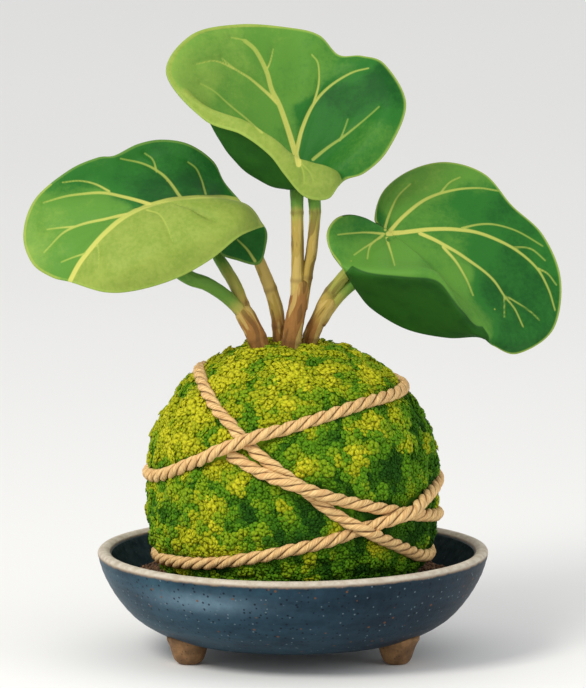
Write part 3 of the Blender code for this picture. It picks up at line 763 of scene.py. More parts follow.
def build_moss():
    rows, normals, is_skin = moss_section()
    flat = moss_rings(rows)
    out = moss_rings(normals)
    skin = np.repeat(is_skin[:-1], MOSS_SIDES)
    tone_with_painted_light = moss_tone(flat)
    to_cord = distance_to(flat, cord_line(1.5)[0])
    cushions = 0.6 * field(flat, 9.0, 4.0) + 1.9 * domes(flat, 5.2) + 0.8 * domes(flat, 2.6)
    cushions += 0.5 * (tone_with_painted_light - 0.5)
    pressed = np.clip(1 - (to_cord - 2.2) / 3.2, 0, 1) ** 2
    depth = -2.1 + cushions * (1 - pressed) - 1.3 * pressed
    points = flat + out * (depth * skin)[:, None]
    points[:, 2] = np.maximum(points[:, 2], BED_TOP + 0.2)
    bottom = (0.0, 0.0, MOSS_UNDERSIDE[0][1])
    top = (0.0, 0.0, points[-MOSS_SIDES:, 2].mean())
    points = np.concatenate([[bottom], points, [top]])
    faces = capped_faces(len(rows) - 1, MOSS_SIDES)
    tone_with_painted_light = with_poles(tone_with_painted_light)
    to_cord = with_poles(to_cord)
    values = {"tone_with_painted_light": tone_with_painted_light * 0.75, "tip": np.full(len(points), 0.55)}
    spongy = moss_finish("moss_cushions", (0.012, 0.050, 0.005))
    mat = make_piece("moss_mat", points, faces, spongy, values)
    set_for(mat, "moss_wrap")

    room = np.clip((to_cord - 2.1) / 1.1, 0, 1)
    for x, y, radius in STEM_FEET:
        gap = np.hypot(points[:, 0] - x, points[:, 1] - y)
        room *= (gap > radius - 0.5) | (points[:, 2] < 90)
    size = 0.85 + 0.45 * tone_with_painted_light
    size *= 0.6 + 0.4 * np.clip((to_cord - 2.4) / 3.0, 0, 1)
    leaves = moss_finish("moss_shoots", (0.030, 0.095, 0.008))
    bit = shoot()
    for seed, (name, lowest, highest) in enumerate(SHOOT_BANDS):
        band = room * (points[:, 2] > lowest) * (points[:, 2] <= highest)
        band[0] = 0
        values = {"room": band, "size": size, "tone_with_painted_light": tone_with_painted_light}
        ground = make_piece(name + "_ground", points, faces, leaves, values)
        shoots = scatter(name, ground, bit, leaves, SHOOT_SPACING, SHOOT_SIZES, SHOOT_LEAN, seed)
        set_for(shoots, "moss_wrap")
    bpy.data.objects.remove(bit, do_unlink=True)


build_moss()


# ---------------------------------------------------------------- twine
# Three jute yarns laid up left-handed, each a bundle of coarse tan fibres. Loose ends of fibre stand up all
# along it, and its own ends are tucked under the strands that they meet. The grooves between the yarns are
# darkened with painted shade.
TWINE_PITCH = 18.5             # length of one full turn of the lay
YARN_RADIUS = 1.36
YARN_OFFSET = 1.12             # from the cord's middle to a yarn's middle
YARN_SIDES = 10
CORD_STEP = 0.95
FIBRE_SPACING = 2.3
FIBRE_SIZES = (0.35, 1.1)


def jute_finish():
    finish = Finish("jute")
    fibre = finish.value("fibre", out=1)
    streak = finish.cloud(finish.stretched(fibre, (0.10, 1.0, 1.0)), 0.55, 3.0, 0.6)
    patch = finish.cloud(finish.stretched(fibre, (0.08, 0.3, 0.3)), 1.0, 2.0)
    groove_shade = finish.value("groove_shade")
    light = finish.mix((0.50, 0.27, 0.095), (0.86, 0.60, 0.27), streak.between(0.28, 0.66))
    warm = finish.mix(light, (0.68, 0.36, 0.15), patch.between(0.45, 0.75) * 0.45)
    # painted shade: the cord is darkened in the grooves between its yarns
    colour = finish.mix(warm, (0.12, 0.045, 0.012), groove_shade.between(0.30, 0.85) * 0.9)
    return finish.done(colour, 0.78, streak, 0.00035, Specular_IOR_Level=0.25)


def circles(first, second, sides):
    """Angles round a tube, and at each point of its middle line the directions to its sides there, from two
    directions across it."""
    angles = np.linspace(0, math.tau, sides, endpoint=False)
    cosines, sines = np.cos(angles)[None, :, None], np.sin(angles)[None, :, None]
    return angles, first[:, None] * cosines + second[:, None] * sines


def yarn_grid(middle, outward, lengths, phase):
    """Rings of one yarn along the cord, with where each point lies in the straightened yarn."""
    along = unit(np.gradient(middle, axis=0))
    across = unit(np.cross(along, outward))
    normal = np.cross(across, along)
    lay = -math.tau * lengths / TWINE_PITCH + phase
    offset = normal * np.cos(lay)[:, None] + across * np.sin(lay)[:, None]
    centre = middle + offset * YARN_OFFSET
    run = unit(np.gradient(centre, axis=0))
    side = unit(np.cross(run, offset))
    up = np.cross(side, run)
    uneven = 0.05 * np.sin(lengths * 1.3 + phase * 3) + 0.035 * np.sin(lengths * 3.1 + phase)
    radius = YARN_RADIUS * (1 + uneven)
    angles, circle = circles(up, side, YARN_SIDES)
    rings = centre[:, None] + circle * radius[:, None, None]
    # painted shade in the grooves, strongest on the side of each yarn that faces the cord's middle
    groove_shade = np.tile(np.clip(0.72 - np.cos(angles) * 0.95, 0, 1), (len(lengths), 1))
    spun = angles[None] + lengths[:, None] * 0.55
    reach = np.repeat(lengths[:, None] + phase * 40, YARN_SIDES, axis=1)
    fibre = np.stack([reach, np.cos(spun) * YARN_RADIUS, np.sin(spun) * YARN_RADIUS], axis=2)
    return rings, centre, groove_shade, fibre


def fibre_end():
    """One loose fibre: a thin bent hair about 2 mm long, with three sides."""
    points = []
    bends = ((0.0, -0.15, 0.045), (0.25, 0.45, 0.04), (0.8, 0.85, 0.03), (1.5, 1.0, 0.015))
    for reach, height, radius in bends:
        points += [(reach, radius * math.cos(a), height + radius * math.sin(a)) for a in (0.5, 2.6, 4.7)]
    faces = [(0, 1, 2), (11, 10, 9)]
    for base in (0, 3, 6):
        for k in range(3):
            n = (k + 1) % 3
            faces.append((base + k, base + 3 + k, base + 3 + n, base + n))
    return solid_bit("fibre_end", points, faces, {"groove_shade": np.zeros(len(points))})


def build_twine():
    jute = jute_finish()
    middle, outward, lengths = cord_line(CORD_STEP)
    points, faces, groove_shade, fibre = [], [], [], []
    for yarn in range(3):
        rings, centre, groove_shades, fibres = yarn_grid(middle, outward, lengths, yarn * math.tau / 3)
        base = sum(len(block) for block in points)
        points.append(np.concatenate([centre[:1], rings.reshape(-1, 3), centre[-1:]]))
        groove_shade.append(np.concatenate([[0.8], groove_shades.ravel(), [0.8]]))
        fibre.append(np.concatenate([fibres[0, :1], fibres.reshape(-1, 3), fibres[-1, :1]]))
        for face in capped_faces(len(lengths), YARN_SIDES):
            faces.append(tuple(base + k for k in reversed(face)))
    points = np.concatenate(points)
    values = {"groove_shade": np.concatenate(groove_shade), "fibre": np.concatenate(fibre)}
    twine = make_piece("jute_twine", points, faces, jute, values)
    values = {"room": 1 - values["groove_shade"], "size": np.ones(len(points)), "fibre": values["fibre"]}
    ground = make_piece("fibre_ground", points, faces, jute, values)
    bit = fibre_end()
    fuzz = scatter("jute_fibres", ground, bit, jute, FIBRE_SPACING, FIBRE_SIZES, 0.7, 11)
    bpy.data.objects.remove(bit, do_unlink=True)
    set_for(twine, "twine")
    set_for(fuzz, "twine")


build_twine()


# ---------------------------------------------------------------- stems and petioles
# Four woody stems come out of the top of the moss. Three of them fork into a pair of fleshy leaf stalks.
# The bark is brown and cracked low down, turns tan and then green, and has a swollen ring at each node.
# Its lower, older part carries streaks of painted highlight and painted shade, like lit and shaded facets.
TUBE_SIDES = 40
TUBE_STEP = 0.5
TIP_ROUNDING = 1.1             # length over which the end of a stalk is rounded
RING_SWELL = 0.16
# For each node, (x, y, z, radius, age) up its middle. Age 0 is old bark, 1 is fresh green.
TUBES = {
    "stem_left": [
        (-10.6, -3.4, 98, 4.1, 0.0), (-10.9, -3.5, 108, 3.8, 0.0), (-12.3, -3.3, 116, 3.6, 0.10),
        (-15.0, -2.9, 122.5, 3.55, 0.22), (-18.0, -2.5, 128, 3.5, 0.36), (-19.6, -2.3, 130.4, 2.5, 0.45)],
    "stem_left_inner": [
        (-5.6, 6.0, 98, 2.9, 0.0), (-4.8, 4.8, 110, 2.7, 0.0), (-5.1, 3.7, 120, 2.6, 0.14),
        (-6.3, 3.1, 129.5, 2.5, 0.42), (-9.4, 2.9, 139.2, 2.4, 0.5), (-12.8, 3.7, 147.4, 2.2, 0.6),
        (-15.0, 4.5, 153.0, 2.0, 0.8), (-17.4, 4.6, 158.0, 1.9, 0.95), (-19.6, 3.8, 161.6, 1.8, 1.0)],
    "stem_centre": [
        (-2.0, -4.4, 98, 4.2, 0.0), (-1.5, -4.2, 110, 3.95, 0.0), (0.0, -4.0, 122, 3.6, 0.1),
        (1.9, -3.6, 132, 3.45, 0.20), (2.8, -3.3, 138, 3.4, 0.3), (3.2, -3.2, 141.5, 2.4, 0.36)],
    "stem_right": [
        (4.0, 3.0, 98, 3.2, 0.0), (4.9, 2.2, 109, 3.0, 0.0), (6.8, 1.3, 119, 2.95, 0.14),
        (10.0, 0.6, 126.5, 3.1, 0.36), (13.0, 0.0, 131.5, 3.1, 0.45), (14.8, -0.2, 134.0, 2.2, 0.5)],
    "petiole_left_outer": [
        (-14.6, -3.0, 120.6, 2.2, 0.30), (-17.6, -2.9, 126.6, 2.4, 0.45), (-21.8, -3.1, 131.9, 2.5, 0.78),
        (-26.8, -3.5, 136.2, 2.55, 0.86), (-32.2, -4.2, 139.6, 2.6, 0.90), (-38.4, -5.2, 142.0, 2.7, 0.94),
        (-44.0, -6.2, 146.5, 2.5, 0.97), (-47.2, -7.0, 155, 2.2, 1.0), (-47.0, -7.6, 163, 2.3, 1.0),
        (-46.0, -7.8, 169.9, 2.8, 1.0)],
    "petiole_left_middle": [
        (-13.6, -2.6, 119.5, 2.0, 0.15), (-16.2, -2.2, 125.6, 2.2, 0.34), (-18.6, -1.4, 131.6, 2.25, 0.56),
        (-21.3, 1.0, 138.0, 2.3, 0.68), (-25.0, 4.8, 143.8, 2.25, 0.8), (-28.4, 8.2, 149.2, 2.1, 0.92),
        (-31.4, 9.2, 158, 2.0, 1.0), (-33.6, 6.4, 166.0, 2.3, 1.0), (-35.0, 3.6, 171.2, 2.7, 1.0)],
    "petiole_top_left": [
        (1.0, -3.7, 130, 2.0, 0.15), (1.6, -3.9, 140, 2.4, 0.48), (1.7, -3.8, 152, 2.35, 0.56),
        (1.6, -3.4, 163, 2.3, 0.62), (1.5, -2.2, 169, 2.4, 0.86), (1.4, 0.4, 174, 2.6, 1.0),
        (1.4, 3.4, 178.4, 2.6, 1.0), (1.4, 5.2, 181.0, 2.2, 1.0)],
    "petiole_top_right": [
        (3.4, -3.2, 130, 1.9, 0.15), (4.9, -3.0, 141, 2.15, 0.46), (6.9, -2.8, 152, 2.1, 0.56),
        (8.0, -2.4, 163, 2.1, 0.64), (8.0, -1.6, 169, 2.3, 0.88), (7.4, 0.6, 174, 2.5, 1.0),
        (6.6, 3.4, 178.4, 2.5, 1.0), (6.0, 5.2, 181.0, 2.2, 1.0)],
    "petiole_right_upper": [
        (7.8, 0.8, 123.5, 1.9, 0.25), (12.2, -0.2, 133.0, 2.3, 0.56), (18.0, -1.4, 141.0, 2.25, 0.72),
        (24.0, -2.2, 147.2, 2.2, 0.84), (30.0, -1.8, 151.6, 2.4, 0.95), (36.5, -0.6, 155.0, 2.2, 1.0)],
    "petiole_right_lower": [
        (10.2, 0.4, 123.8, 1.9, 0.28), (15.8, 0.4, 133.0, 2.4, 0.70), (22.0, 0.4, 138.9, 2.4, 0.86),
        (28.0, -0.4, 142.8, 2.3, 0.94), (34.0, -2.0, 147.4, 2.2, 1.0), (38.6, -2.6, 153.4, 2.0, 1.0)],
}
NODE_RINGS = {                     # lengths up a stem, in millimetres, where it is swollen
    "stem_left": (21.0,), "stem_left_inner": (25.0, 39.0), "stem_centre": (20.0,), "stem_right": (21.0,),
    "petiole_left_middle": (13.0,), "petiole_top_left": (11.0, 36.0), "petiole_top_right": (12.0, 36.5),
    "petiole_right_upper": (14.0,),
}


def stem_finish():
    finish = Finish("stem_bark_and_skin")
    grain = finish.value("grain", out=1)
    age = finish.value("age")
    ring = finish.value("ring")
    streak = finish.cloud(finish.stretched(grain, (0.09, 1.0, 1.0)), 1.5, 3.0, 0.6)
    painted_facets = finish.cloud(finish.stretched(grain, (0.07, 0.34, 0.34)), 1.0, 1.0)
    pores = finish.cloud(finish.place(), 0.0012, 3.0)
    level = age + (streak - 0.5) * 0.10 + (pores - 0.5) * 0.08
    bark = finish.mix((0.10, 0.042, 0.012), (0.29, 0.135, 0.036), level.between(-0.04, 0.14))
    tan = finish.mix(bark, (0.40, 0.285, 0.064), level.between(0.24, 0.44))
    olive = finish.mix(tan, (0.32, 0.33, 0.064), level.between(0.56, 0.68))
    green = finish.mix(olive, (0.115, 0.255, 0.035), level.between(0.72, 0.86))
    green = finish.mix(green, (0.050, 0.170, 0.022), level.between(0.93, 1.0))
    # painted highlight and painted shade: streaks on the older bark are made lighter and darker, like lit
    # and shaded facets
    light = finish.mix(green, (0.56, 0.41, 0.13), painted_facets.between(0.55, 0.59) * 0.6 * age.between(0.8, 0.5))
    dark = finish.mix(light, (0.07, 0.035, 0.012), painted_facets.between(0.43, 0.39) * 0.5 * age.between(0.9, 0.6))
    colour = finish.mix(dark, (0.10, 0.05, 0.018), ring * 0.38 * age.between(0.95, 0.7))
    bump = streak * age.between(1.1, 0.2) + pores * 0.25 + painted_facets.between(0.45, 0.55) * 0.3
    return finish.done(colour, 0.66 - age * 0.14, bump, 0.00045, Specular_IOR_Level=0.14)


def build_stem(node, control, index, finish):
    """One stem or stalk: rings along its middle, with swollen nodes and lumpy bark, closed at both ends."""
    line, lengths = even_path(smooth_path(control, 12), TUBE_STEP)
    middle, radius, age = line[:, :3], line[:, 3], line[:, 4]
    along = unit(np.gradient(middle, axis=0))
    side = unit(np.cross(along, (0.0, 1.0, 0.0)))
    front = np.cross(side, along)
    swollen = np.zeros(len(line))
    for place in NODE_RINGS.get(node, ()):
        swollen = np.maximum(swollen, np.exp(-((lengths - place) / 0.9) ** 2))
    near_tip = np.clip(1 - (lengths[-1] - lengths) / TIP_ROUNDING, 0, 1)
    rounding = np.sqrt(np.clip(1 - near_tip ** 2, 0.05, 1))
    angles, circle = circles(side, front, TUBE_SIDES)
    flat = (middle[:, None] + circle * radius[:, None, None]).reshape(-1, 3)
    woody = np.repeat(np.clip(1.1 - age, 0.15, 1), TUBE_SIDES)
    lump = 0.30 * field(flat * (1, 1, 0.35), 2.6, index) + 0.16 * field(flat * (1, 1, 0.5), 1.1, index)
    lump = (woody * lump).reshape(len(line), -1)
    reach = ((radius + swollen * RING_SWELL)[:, None] + lump) * rounding[:, None]
    points = (middle[:, None] + circle * reach[:, :, None]).reshape(-1, 3)
    points = np.concatenate([middle[:1], points, middle[-1:] + along[-1:] * 0.1])
    faces = [tuple(reversed(face)) for face in capped_faces(len(line), TUBE_SIDES)]
    up = np.repeat(lengths[:, None] + 37 * index, TUBE_SIDES, axis=1)
    turn = (radius[:, None] * np.cos(angles), radius[:, None] * np.sin(angles))
    grain = np.stack([up, *turn], axis=2).reshape(-1, 3)
    values = {"age": np.repeat(age, TUBE_SIDES), "ring": np.repeat(swollen, TUBE_SIDES), "grain": grain}
    values = {key: with_poles(data) for key, data in values.items()}
    name = node.replace("petiole", "leaf_stalk").replace("stem", "woody_stem")
    stem = make_piece(name, points, faces, finish, values)
    set_for(stem, node)


def build_stems():
    finish = stem_finish()
    for index, (node, control) in enumerate(TUBES.items()):
        build_stem(node, control, index, finish)


build_stems()


# ---------------------------------------------------------------- leaf blades
# Three round fleshy leaves. Each blade is a thin, waxy sheet with pale veins that fan out from where its
# stalks join, a pale rolled margin and a duller underside that is painted darker, as shade. Its upper side
# carries painted light and shade in patches between the veins, painted light on the rolled lip and the
# folded
# front half, and lines of painted shade along creases. Each is listed as spokes round a hub:
# (inner point, shoulder, rim), and is drawn smoothly through them all.
LEAF_THICKNESS = 0.9
SPOKE_STEPS = (30, 34, 26)     # rows from the hub to the inner ring, to the shoulder and to the rim
LEAF_COLUMNS = 480
VEIN_WIDTH = 0.8               # what the widths in the lists of veins are multiplied by
NARROWEST_VEIN = 0.25          # half a width
FAR = 9.0                      # a distance at which nothing of a vein or a crease shows
RIM_ARC = [math.radians(a) for a in (50, 18, -18, -50)]


def leaf_finish():
    """The leaves' skin: panels of painted light and shade, veins, margin, pale painted light on rolled and
    folded parts and lines of painted shade along creases above, and a dull green below that is painted dark
    as shade.
    """
    finish = Finish("waxy_leaf")
    place = finish.place()
    tone_with_painted_light = finish.value("tone_with_painted_light")
    pale = finish.value("pale")
    vein = finish.value("vein")
    strength = finish.value("strength")
    margin = finish.value("margin")
    under = finish.value("under")
    crease_shade = finish.value("crease_shade")
    cloud = finish.cloud(place, 0.010, 5.0, 0.62)
    fibre = finish.cloud(place, 0.0016, 3.0, 0.6)
    # painted light and shade: the panels' tone turns the blade from dark green where shaded to yellow-green
    # where lit
    level = tone_with_painted_light + (cloud - 0.5) * 0.30 + (fibre - 0.5) * 0.20
    dark = finish.mix((0.005, 0.072, 0.008), (0.019, 0.140, 0.016), level.between(0.0, 0.26))
    blade = finish.mix(dark, (0.092, 0.245, 0.030), level.between(0.32, 0.62))
    blade = finish.mix(blade, (0.205, 0.345, 0.052), level.between(0.68, 1.0))
    mottle = (cloud * 0.6 + fibre * 0.5).between(0.32, 0.75)
    # painted light: the rolled lip and the folded front half are painted a paler yellow-green where they
    # face the light
    pale_painted_light = finish.mix((0.185, 0.280, 0.036), (0.275, 0.355, 0.062), mottle)
    blade = finish.mix(blade, pale_painted_light, pale.between(-0.25, 0.25))
    lines = finish.mix((0.22, 0.38, 0.045), (0.56, 0.54, 0.12), strength)
    blade = finish.mix(blade, lines, vein.between(0.28, -0.22) * (0.45 + 0.5 * strength))
    blade = finish.mix(blade, (0.35, 0.50, 0.09), margin.between(0.9, 0.4) * 0.25)
    # painted shade: a dark line along each crease, and in the right leaf's slit
    blade = finish.mix(blade, (0.008, 0.060, 0.010), crease_shade.between(0.5, 0.1) * 0.85)
    fleck = 1 - finish.cells(place, 0.0075).between(0.035, 0.06)
    pick = finish.chance(place, 0.0075).between(0.72, 0.74)
    blade = finish.mix(blade, (0.40, 0.42, 0.06), fleck * pick * 0.6)
    # painted shade: the underside, and the folded part that the regions mark, are painted dark green
    shade = finish.mix((0.005, 0.046, 0.004), (0.017, 0.095, 0.007), (cloud + tone_with_painted_light * 0.4).between(0.35, 0.9))
    shade = finish.mix(shade, (0.07, 0.19, 0.02), vein.between(0.5, -0.3) * 0.35)
    colour = finish.mix(blade, shade, under)
    bump = vein.maths("MINIMUM", vein, 1.5) * 0.35 + fibre * 0.3 + cloud * 0.5
    rough = 0.52 + fibre * 0.12 + under * 0.2
    return finish.done(colour, rough, bump, 0.00035, Specular_IOR_Level=0.16)


def resample(points, count):
    """A closed path's points at equal steps of its own parameter."""
    place = np.arange(count) * len(points) / count
    index = place.astype(int)
    share = (place - index).reshape((-1,) + (1,) * (points.ndim - 1))
    return points[index] * (1 - share) + points[(index + 1) % len(points)] * share


def to_line(points, line):
    """Distance of flat points from a flat line, and how far along the line (0 to 1) the nearest place is."""
    best = np.full(len(points), 1e9)
    where = np.zeros(len(points))
    run = np.concatenate([[0], np.cumsum(np.linalg.norm(np.diff(line, axis=0), axis=1))])
    for k in range(len(line) - 1):
        step = line[k + 1] - line[k]
        share = np.clip((points - line[k]) @ step / (step @ step), 0, 1)
        gap = np.linalg.norm(points - line[k] - share[:, None] * step, axis=1)
        closer = gap < best
        best[closer] = gap[closer]
        where[closer] = ((run[k] + share * (run[k + 1] - run[k])) / run[-1])[closer]
    return best, where


def leaf_grid(hub, spokes):
    """Rows of a leaf's middle surface from the hub outward, the place of each row along its spoke (0 to 3)
    and of each column round the leaf (in spokes)."""
    columns = resample(smooth_path(spokes, 16, closed=True), LEAF_COLUMNS)
    middle = np.broadcast_to(hub, (LEAF_COLUMNS, 1, 3))
    control = np.concatenate([middle, columns], axis=1).transpose(1, 0, 2)
    padded = np.concatenate([2 * control[:1] - control[1:2], control, 2 * control[-1:] - control[-2:-1]])
    rows, places = [], []
    for k, steps in enumerate(SPOKE_STEPS):
        for step in range(steps):
            rows.append(bend(*padded[k:k + 4], step / steps))
            places.append(k + step / steps)
    rows.append(control[-1])
    places.append(len(SPOKE_STEPS))
    turns = np.arange(LEAF_COLUMNS) * len(spokes) / LEAF_COLUMNS
    return np.array(rows)[1:], np.array(places)[1:], turns


def settle(grid, hub, times):
    """Softens a grid's lumps, leaving its rim and its hub where they are."""
    grid = grid.copy()
    for _ in range(times):
        padded = np.concatenate([np.broadcast_to(hub, grid[:1].shape), grid])
        middle = (padded[:-2] + padded[2:] + np.roll(grid, 1, 1)[:-1] + np.roll(grid, -1, 1)[:-1]) / 4
        grid[:-1] = grid[:-1] * 0.5 + middle * 0.5
    return grid


def leaf_veins(seen, veins):
    """How far each point is from the edge of the nearest vein (less than 0 on it), and its strength."""
    vein = np.full(len(seen), FAR)
    strength = np.zeros(len(seen))
    for start_width, end_width, power, line in veins:
        gap, where = to_line(seen, smooth_path(line, 5))
        width = VEIN_WIDTH * (start_width + (end_width - start_width) * where)
        gap = gap - np.maximum(width / 2, NARROWEST_VEIN)
        closer = gap < vein
        vein[closer] = gap[closer]
        strength[closer] = (power * (1 - 0.5 * where))[closer]
    return vein, strength


def leaf_tone(seen, panels):
    """How light the leaf is at each point, blended from the panels nearest to it: painted light and shade.
    """
    squares = [np.sum((seen - (across, up)) ** 2, axis=1) for across, up, level in panels]
    nearest = np.min(squares, axis=0)
    total = np.zeros(len(seen))
    tone_with_painted_light = np.zeros(len(seen))
    for square, (across, up, level) in zip(squares, panels):
        weight = np.exp(-(square - nearest) / 30.0)
        tone_with_painted_light += weight * level
        total += weight
    return tone_with_painted_light / total


def build_leaf(name, node, hub, spokes, veins, panels, regions, material):
    """One blade: an upper and a lower skin on both sides of the same grid, joined by a rounded rim. regions
    says where it is painted pale as light, where a line of painted shade runs along a crease and where it is
    painted dark as shade."""
    hub = np.array(hub, dtype=float)
    grid, places, turns = leaf_grid(hub, spokes)
    grid = settle(grid, hub, 14)
    rows, columns = grid.shape[:2]
    around = np.roll(grid, -1, 1) - np.roll(grid, 1, 1)
    outward = np.gradient(np.concatenate([np.broadcast_to(hub, grid[:1].shape), grid]), axis=0)[1:]
    normal = unit(np.cross(around, outward))
    outward = unit(outward)
    flat = grid.reshape(-1, 3)
    seen = front_view(flat)
    vein, strength = leaf_veins(seen, veins)
    to_rim = np.linalg.norm(grid - grid[-1:], axis=2).reshape(-1)
    pale, crease_shade, dark = regions(seen, np.repeat(places, columns), np.tile(turns, rows), to_rim)

    quilt = 0.22 * field(flat, 7.0, 3.0) + np.clip(vein, 0, 3.5) * 0.10
    lift = (quilt * np.clip(to_rim / 4, 0, 1)).reshape(rows, columns, 1)
    half = LEAF_THICKNESS / 2
    upper = grid + normal * (half + lift)
    lower = grid - normal * (half - lift)
    rim = [grid[-1] + outward[-1] * half * math.cos(a) * 0.9 + normal[-1] * half * math.sin(a)
           for a in RIM_ARC]
    skin = np.concatenate([upper, rim, lower[::-1]]).reshape(-1, 3)
    hub_normal = unit(normal[0].mean(axis=0))
    points = np.concatenate([[hub + hub_normal * half], skin, [hub - hub_normal * half]])
    faces = capped_faces(2 * rows + len(RIM_ARC), columns)

    def both_sides(values):
        """Values on the grid, given to the upper skin, the rim, the lower skin and the two hub points."""
        values = values.reshape(rows, columns)
        edge = np.broadcast_to(values[-1], (len(RIM_ARC), columns))
        joined = np.concatenate([values, edge, values[::-1]]).reshape(-1)
        middle = values[:1].mean(axis=1)
        return np.concatenate([middle, joined, middle])

    first_under = 1 + (rows + len(RIM_ARC) // 2) * columns
    under = np.maximum(np.arange(len(points)) >= first_under, both_sides(dark))
    values = {"vein": vein, "strength": strength, "pale": pale, "margin": to_rim, "crease_shade": crease_shade,
              "tone_with_painted_light": leaf_tone(seen, panels)}
    values = {key: both_sides(data) for key, data in values.items()}
    leaf = make_piece(name, points, faces, material, {**values, "under": under})
    set_for(leaf, node)


# Top leaf: a cup that faces forward and up. The low front of its wall shows its outside, painted dark as
# shade, and the lip there rolls outward into a band painted pale as light that ends in a broad lobe over the
# stalks.
TOP_HUB = (1.5, 0, 176)
TOP_SPOKES = [
    ((-25.5, 2, 204), (-42, -5, 216.5), (-46.5, -6, 218.5)),
    ((-18, 8, 205), (-33.5, 6, 226), (-37.5, 8, 230.5)),
    ((-8.5, 12, 206.5), (-18, 15, 227.5), (-20, 18, 233)),
    ((0.5, 13, 206), (-1.5, 19, 224.5), (-1.5, 22, 231.2)),
    ((5, 12.5, 204.5), (7.5, 18, 222), (9.5, 21, 228.6)),
    ((9, 12, 202.5), (14.0, 16.5, 216.6), (16.8, 19.5, 221.4)),
    ((13, 10, 200.5), (21, 14.5, 216.2), (25.5, 17, 221.4)),
    ((17.5, 8, 198.5), (28.5, 11, 213), (34, 14, 218.5)),
    ((21, 3, 192.5), (34, 3, 204.5), (41.5, 4, 205.5)), ((17.5, -2, 186), (28.5, -4, 192.5), (35, -4, 190)),
    ((13.5, -4, 182), (20.5, -6, 184.5), (26.5, -6, 181.7)),
    ((12, -5.5, 179.5), (16.5, -8, 181.4), (19.5, -8.5, 179.5)),
    ((9.5, -9.5, 178.5), (15.0, -16, 183.4), (16.6, -18, 178.4)),
    ((7.5, -10.5, 177.5), (11.5, -19.5, 185.6), (13.2, -22, 174.6)),
    ((3.5, -11, 176.5), (6.0, -22, 187.6), (7.6, -25.5, 174.6)),
    ((-0.5, -11, 176.3), (2.0, -23.5, 189.2), (2.6, -27, 177.2)),
    ((-4, -11, 176.8), (-1.9, -24.3, 191.7), (-3.2, -27.5, 184.4)),
    ((-10.5, -10, 178.5), (-6.8, -25, 195.8), (-8.8, -28, 191.8)),
    ((-20.5, -9, 185), (-17.5, -23, 202.4), (-19, -26, 199.0)),
    ((-26.5, -5, 194), (-31.5, -16, 206.6), (-33, -18, 203.5)),
]
TOP_VEINS = [          # each: width at its start and end, strength, and its line across and up the front
    (2.6, 1.7, 1.0, [(2, 181), (0.6, 186), (-2, 194.5), (-5, 203), (-8, 209), (-10, 216), (-14, 223.5),
                     (-18, 227)]),
    (1.6, 0.5, 0.9, [(-5, 203), (-9.5, 207.5), (-16, 213), (-21.5, 216.5), (-26.5, 220.5)]),
    (0.9, 0.4, 0.8, [(-21.5, 216.5), (-29, 219.5), (-36, 218.2)]),
    (0.8, 0.4, 0.8, [(-10, 216), (-8.5, 219.5), (-7.5, 224)]),
    (0.6, 0.3, 0.7, [(-14, 223.5), (-18, 227), (-23, 228.2)]),
    (1.9, 0.6, 0.95, [(1.2, 185.5), (3.4, 194.5), (7.5, 203.5), (13.5, 210), (21.5, 215), (28, 216.8)]),
    (1.0, 0.4, 0.85, [(7.5, 203.5), (9.5, 211), (9.3, 218.5), (7.0, 222)]),
    (1.5, 0.4, 0.55, [(7.5, 183), (12.5, 187), (19, 191.5), (26.5, 197.5), (32, 202.5)]),
    (0.8, 0.3, 0.5, [(17.5, 190), (19.3, 194.5), (20.5, 198)]),
    (0.8, 0.4, 0.6, [(-11.5, 192.5), (-17, 197.5), (-23, 202.5), (-30, 208.5), (-34.5, 211)]),
    (0.9, 0.3, 0.5, [(1.5, 183), (3.5, 178.5), (4.0, 174)]),
    (0.6, 0.3, 0.45, [(2.6, 181.5), (6, 178), (7.2, 175)]),
]
TOP_PANELS = [                     # patches of painted light and shade: across, up the front, and how light from 0 to 1
    (-36, 213, 0.92), (-28, 222, 0.82), (-20, 206, 0.74), (-12, 196, 0.62), (-8, 227, 0.70), (2, 215, 0.56),
    (-3, 190, 0.55), (12, 220, 0.52), (22, 219.5, 0.38), (20, 205, 0.10), (11, 196, 0.22), (32, 210, 0.05),
    (35, 202, 0.16), (8, 188, 0.24), (24, 190, 0.42), (33, 195, 0.46), (16, 184, 0.36),
]


def top_regions(seen, place, column, to_rim):
    """The rolled lip is painted pale as light from its crest outward, with a line of painted shade along the
    crease behind it. No part is turned over.
    """
    lip = (place - 2.0) * 4.0
    on_front = np.minimum(column - 11.5, 19.6 - column) * 3.0
    margin = np.interp(column, [0, 2.2, 3.0, 18.4, 19.2, 20], [1.5, 1.2, 0.2, 0.2, 1.5, 1.5]) - to_rim
    pale = np.maximum(np.minimum(lip, on_front), margin)
    crease_shade = np.where((column > 11.6) & (column < 17.3), np.abs(lip + 0.35), FAR)
    return pale, crease_shade, 0 * place


LEAF_GREEN = leaf_finish()
build_leaf("leaf_blade_top", "leaf_top", TOP_HUB, TOP_SPOKES, TOP_VEINS, TOP_PANELS, top_regions, LEAF_GREEN)
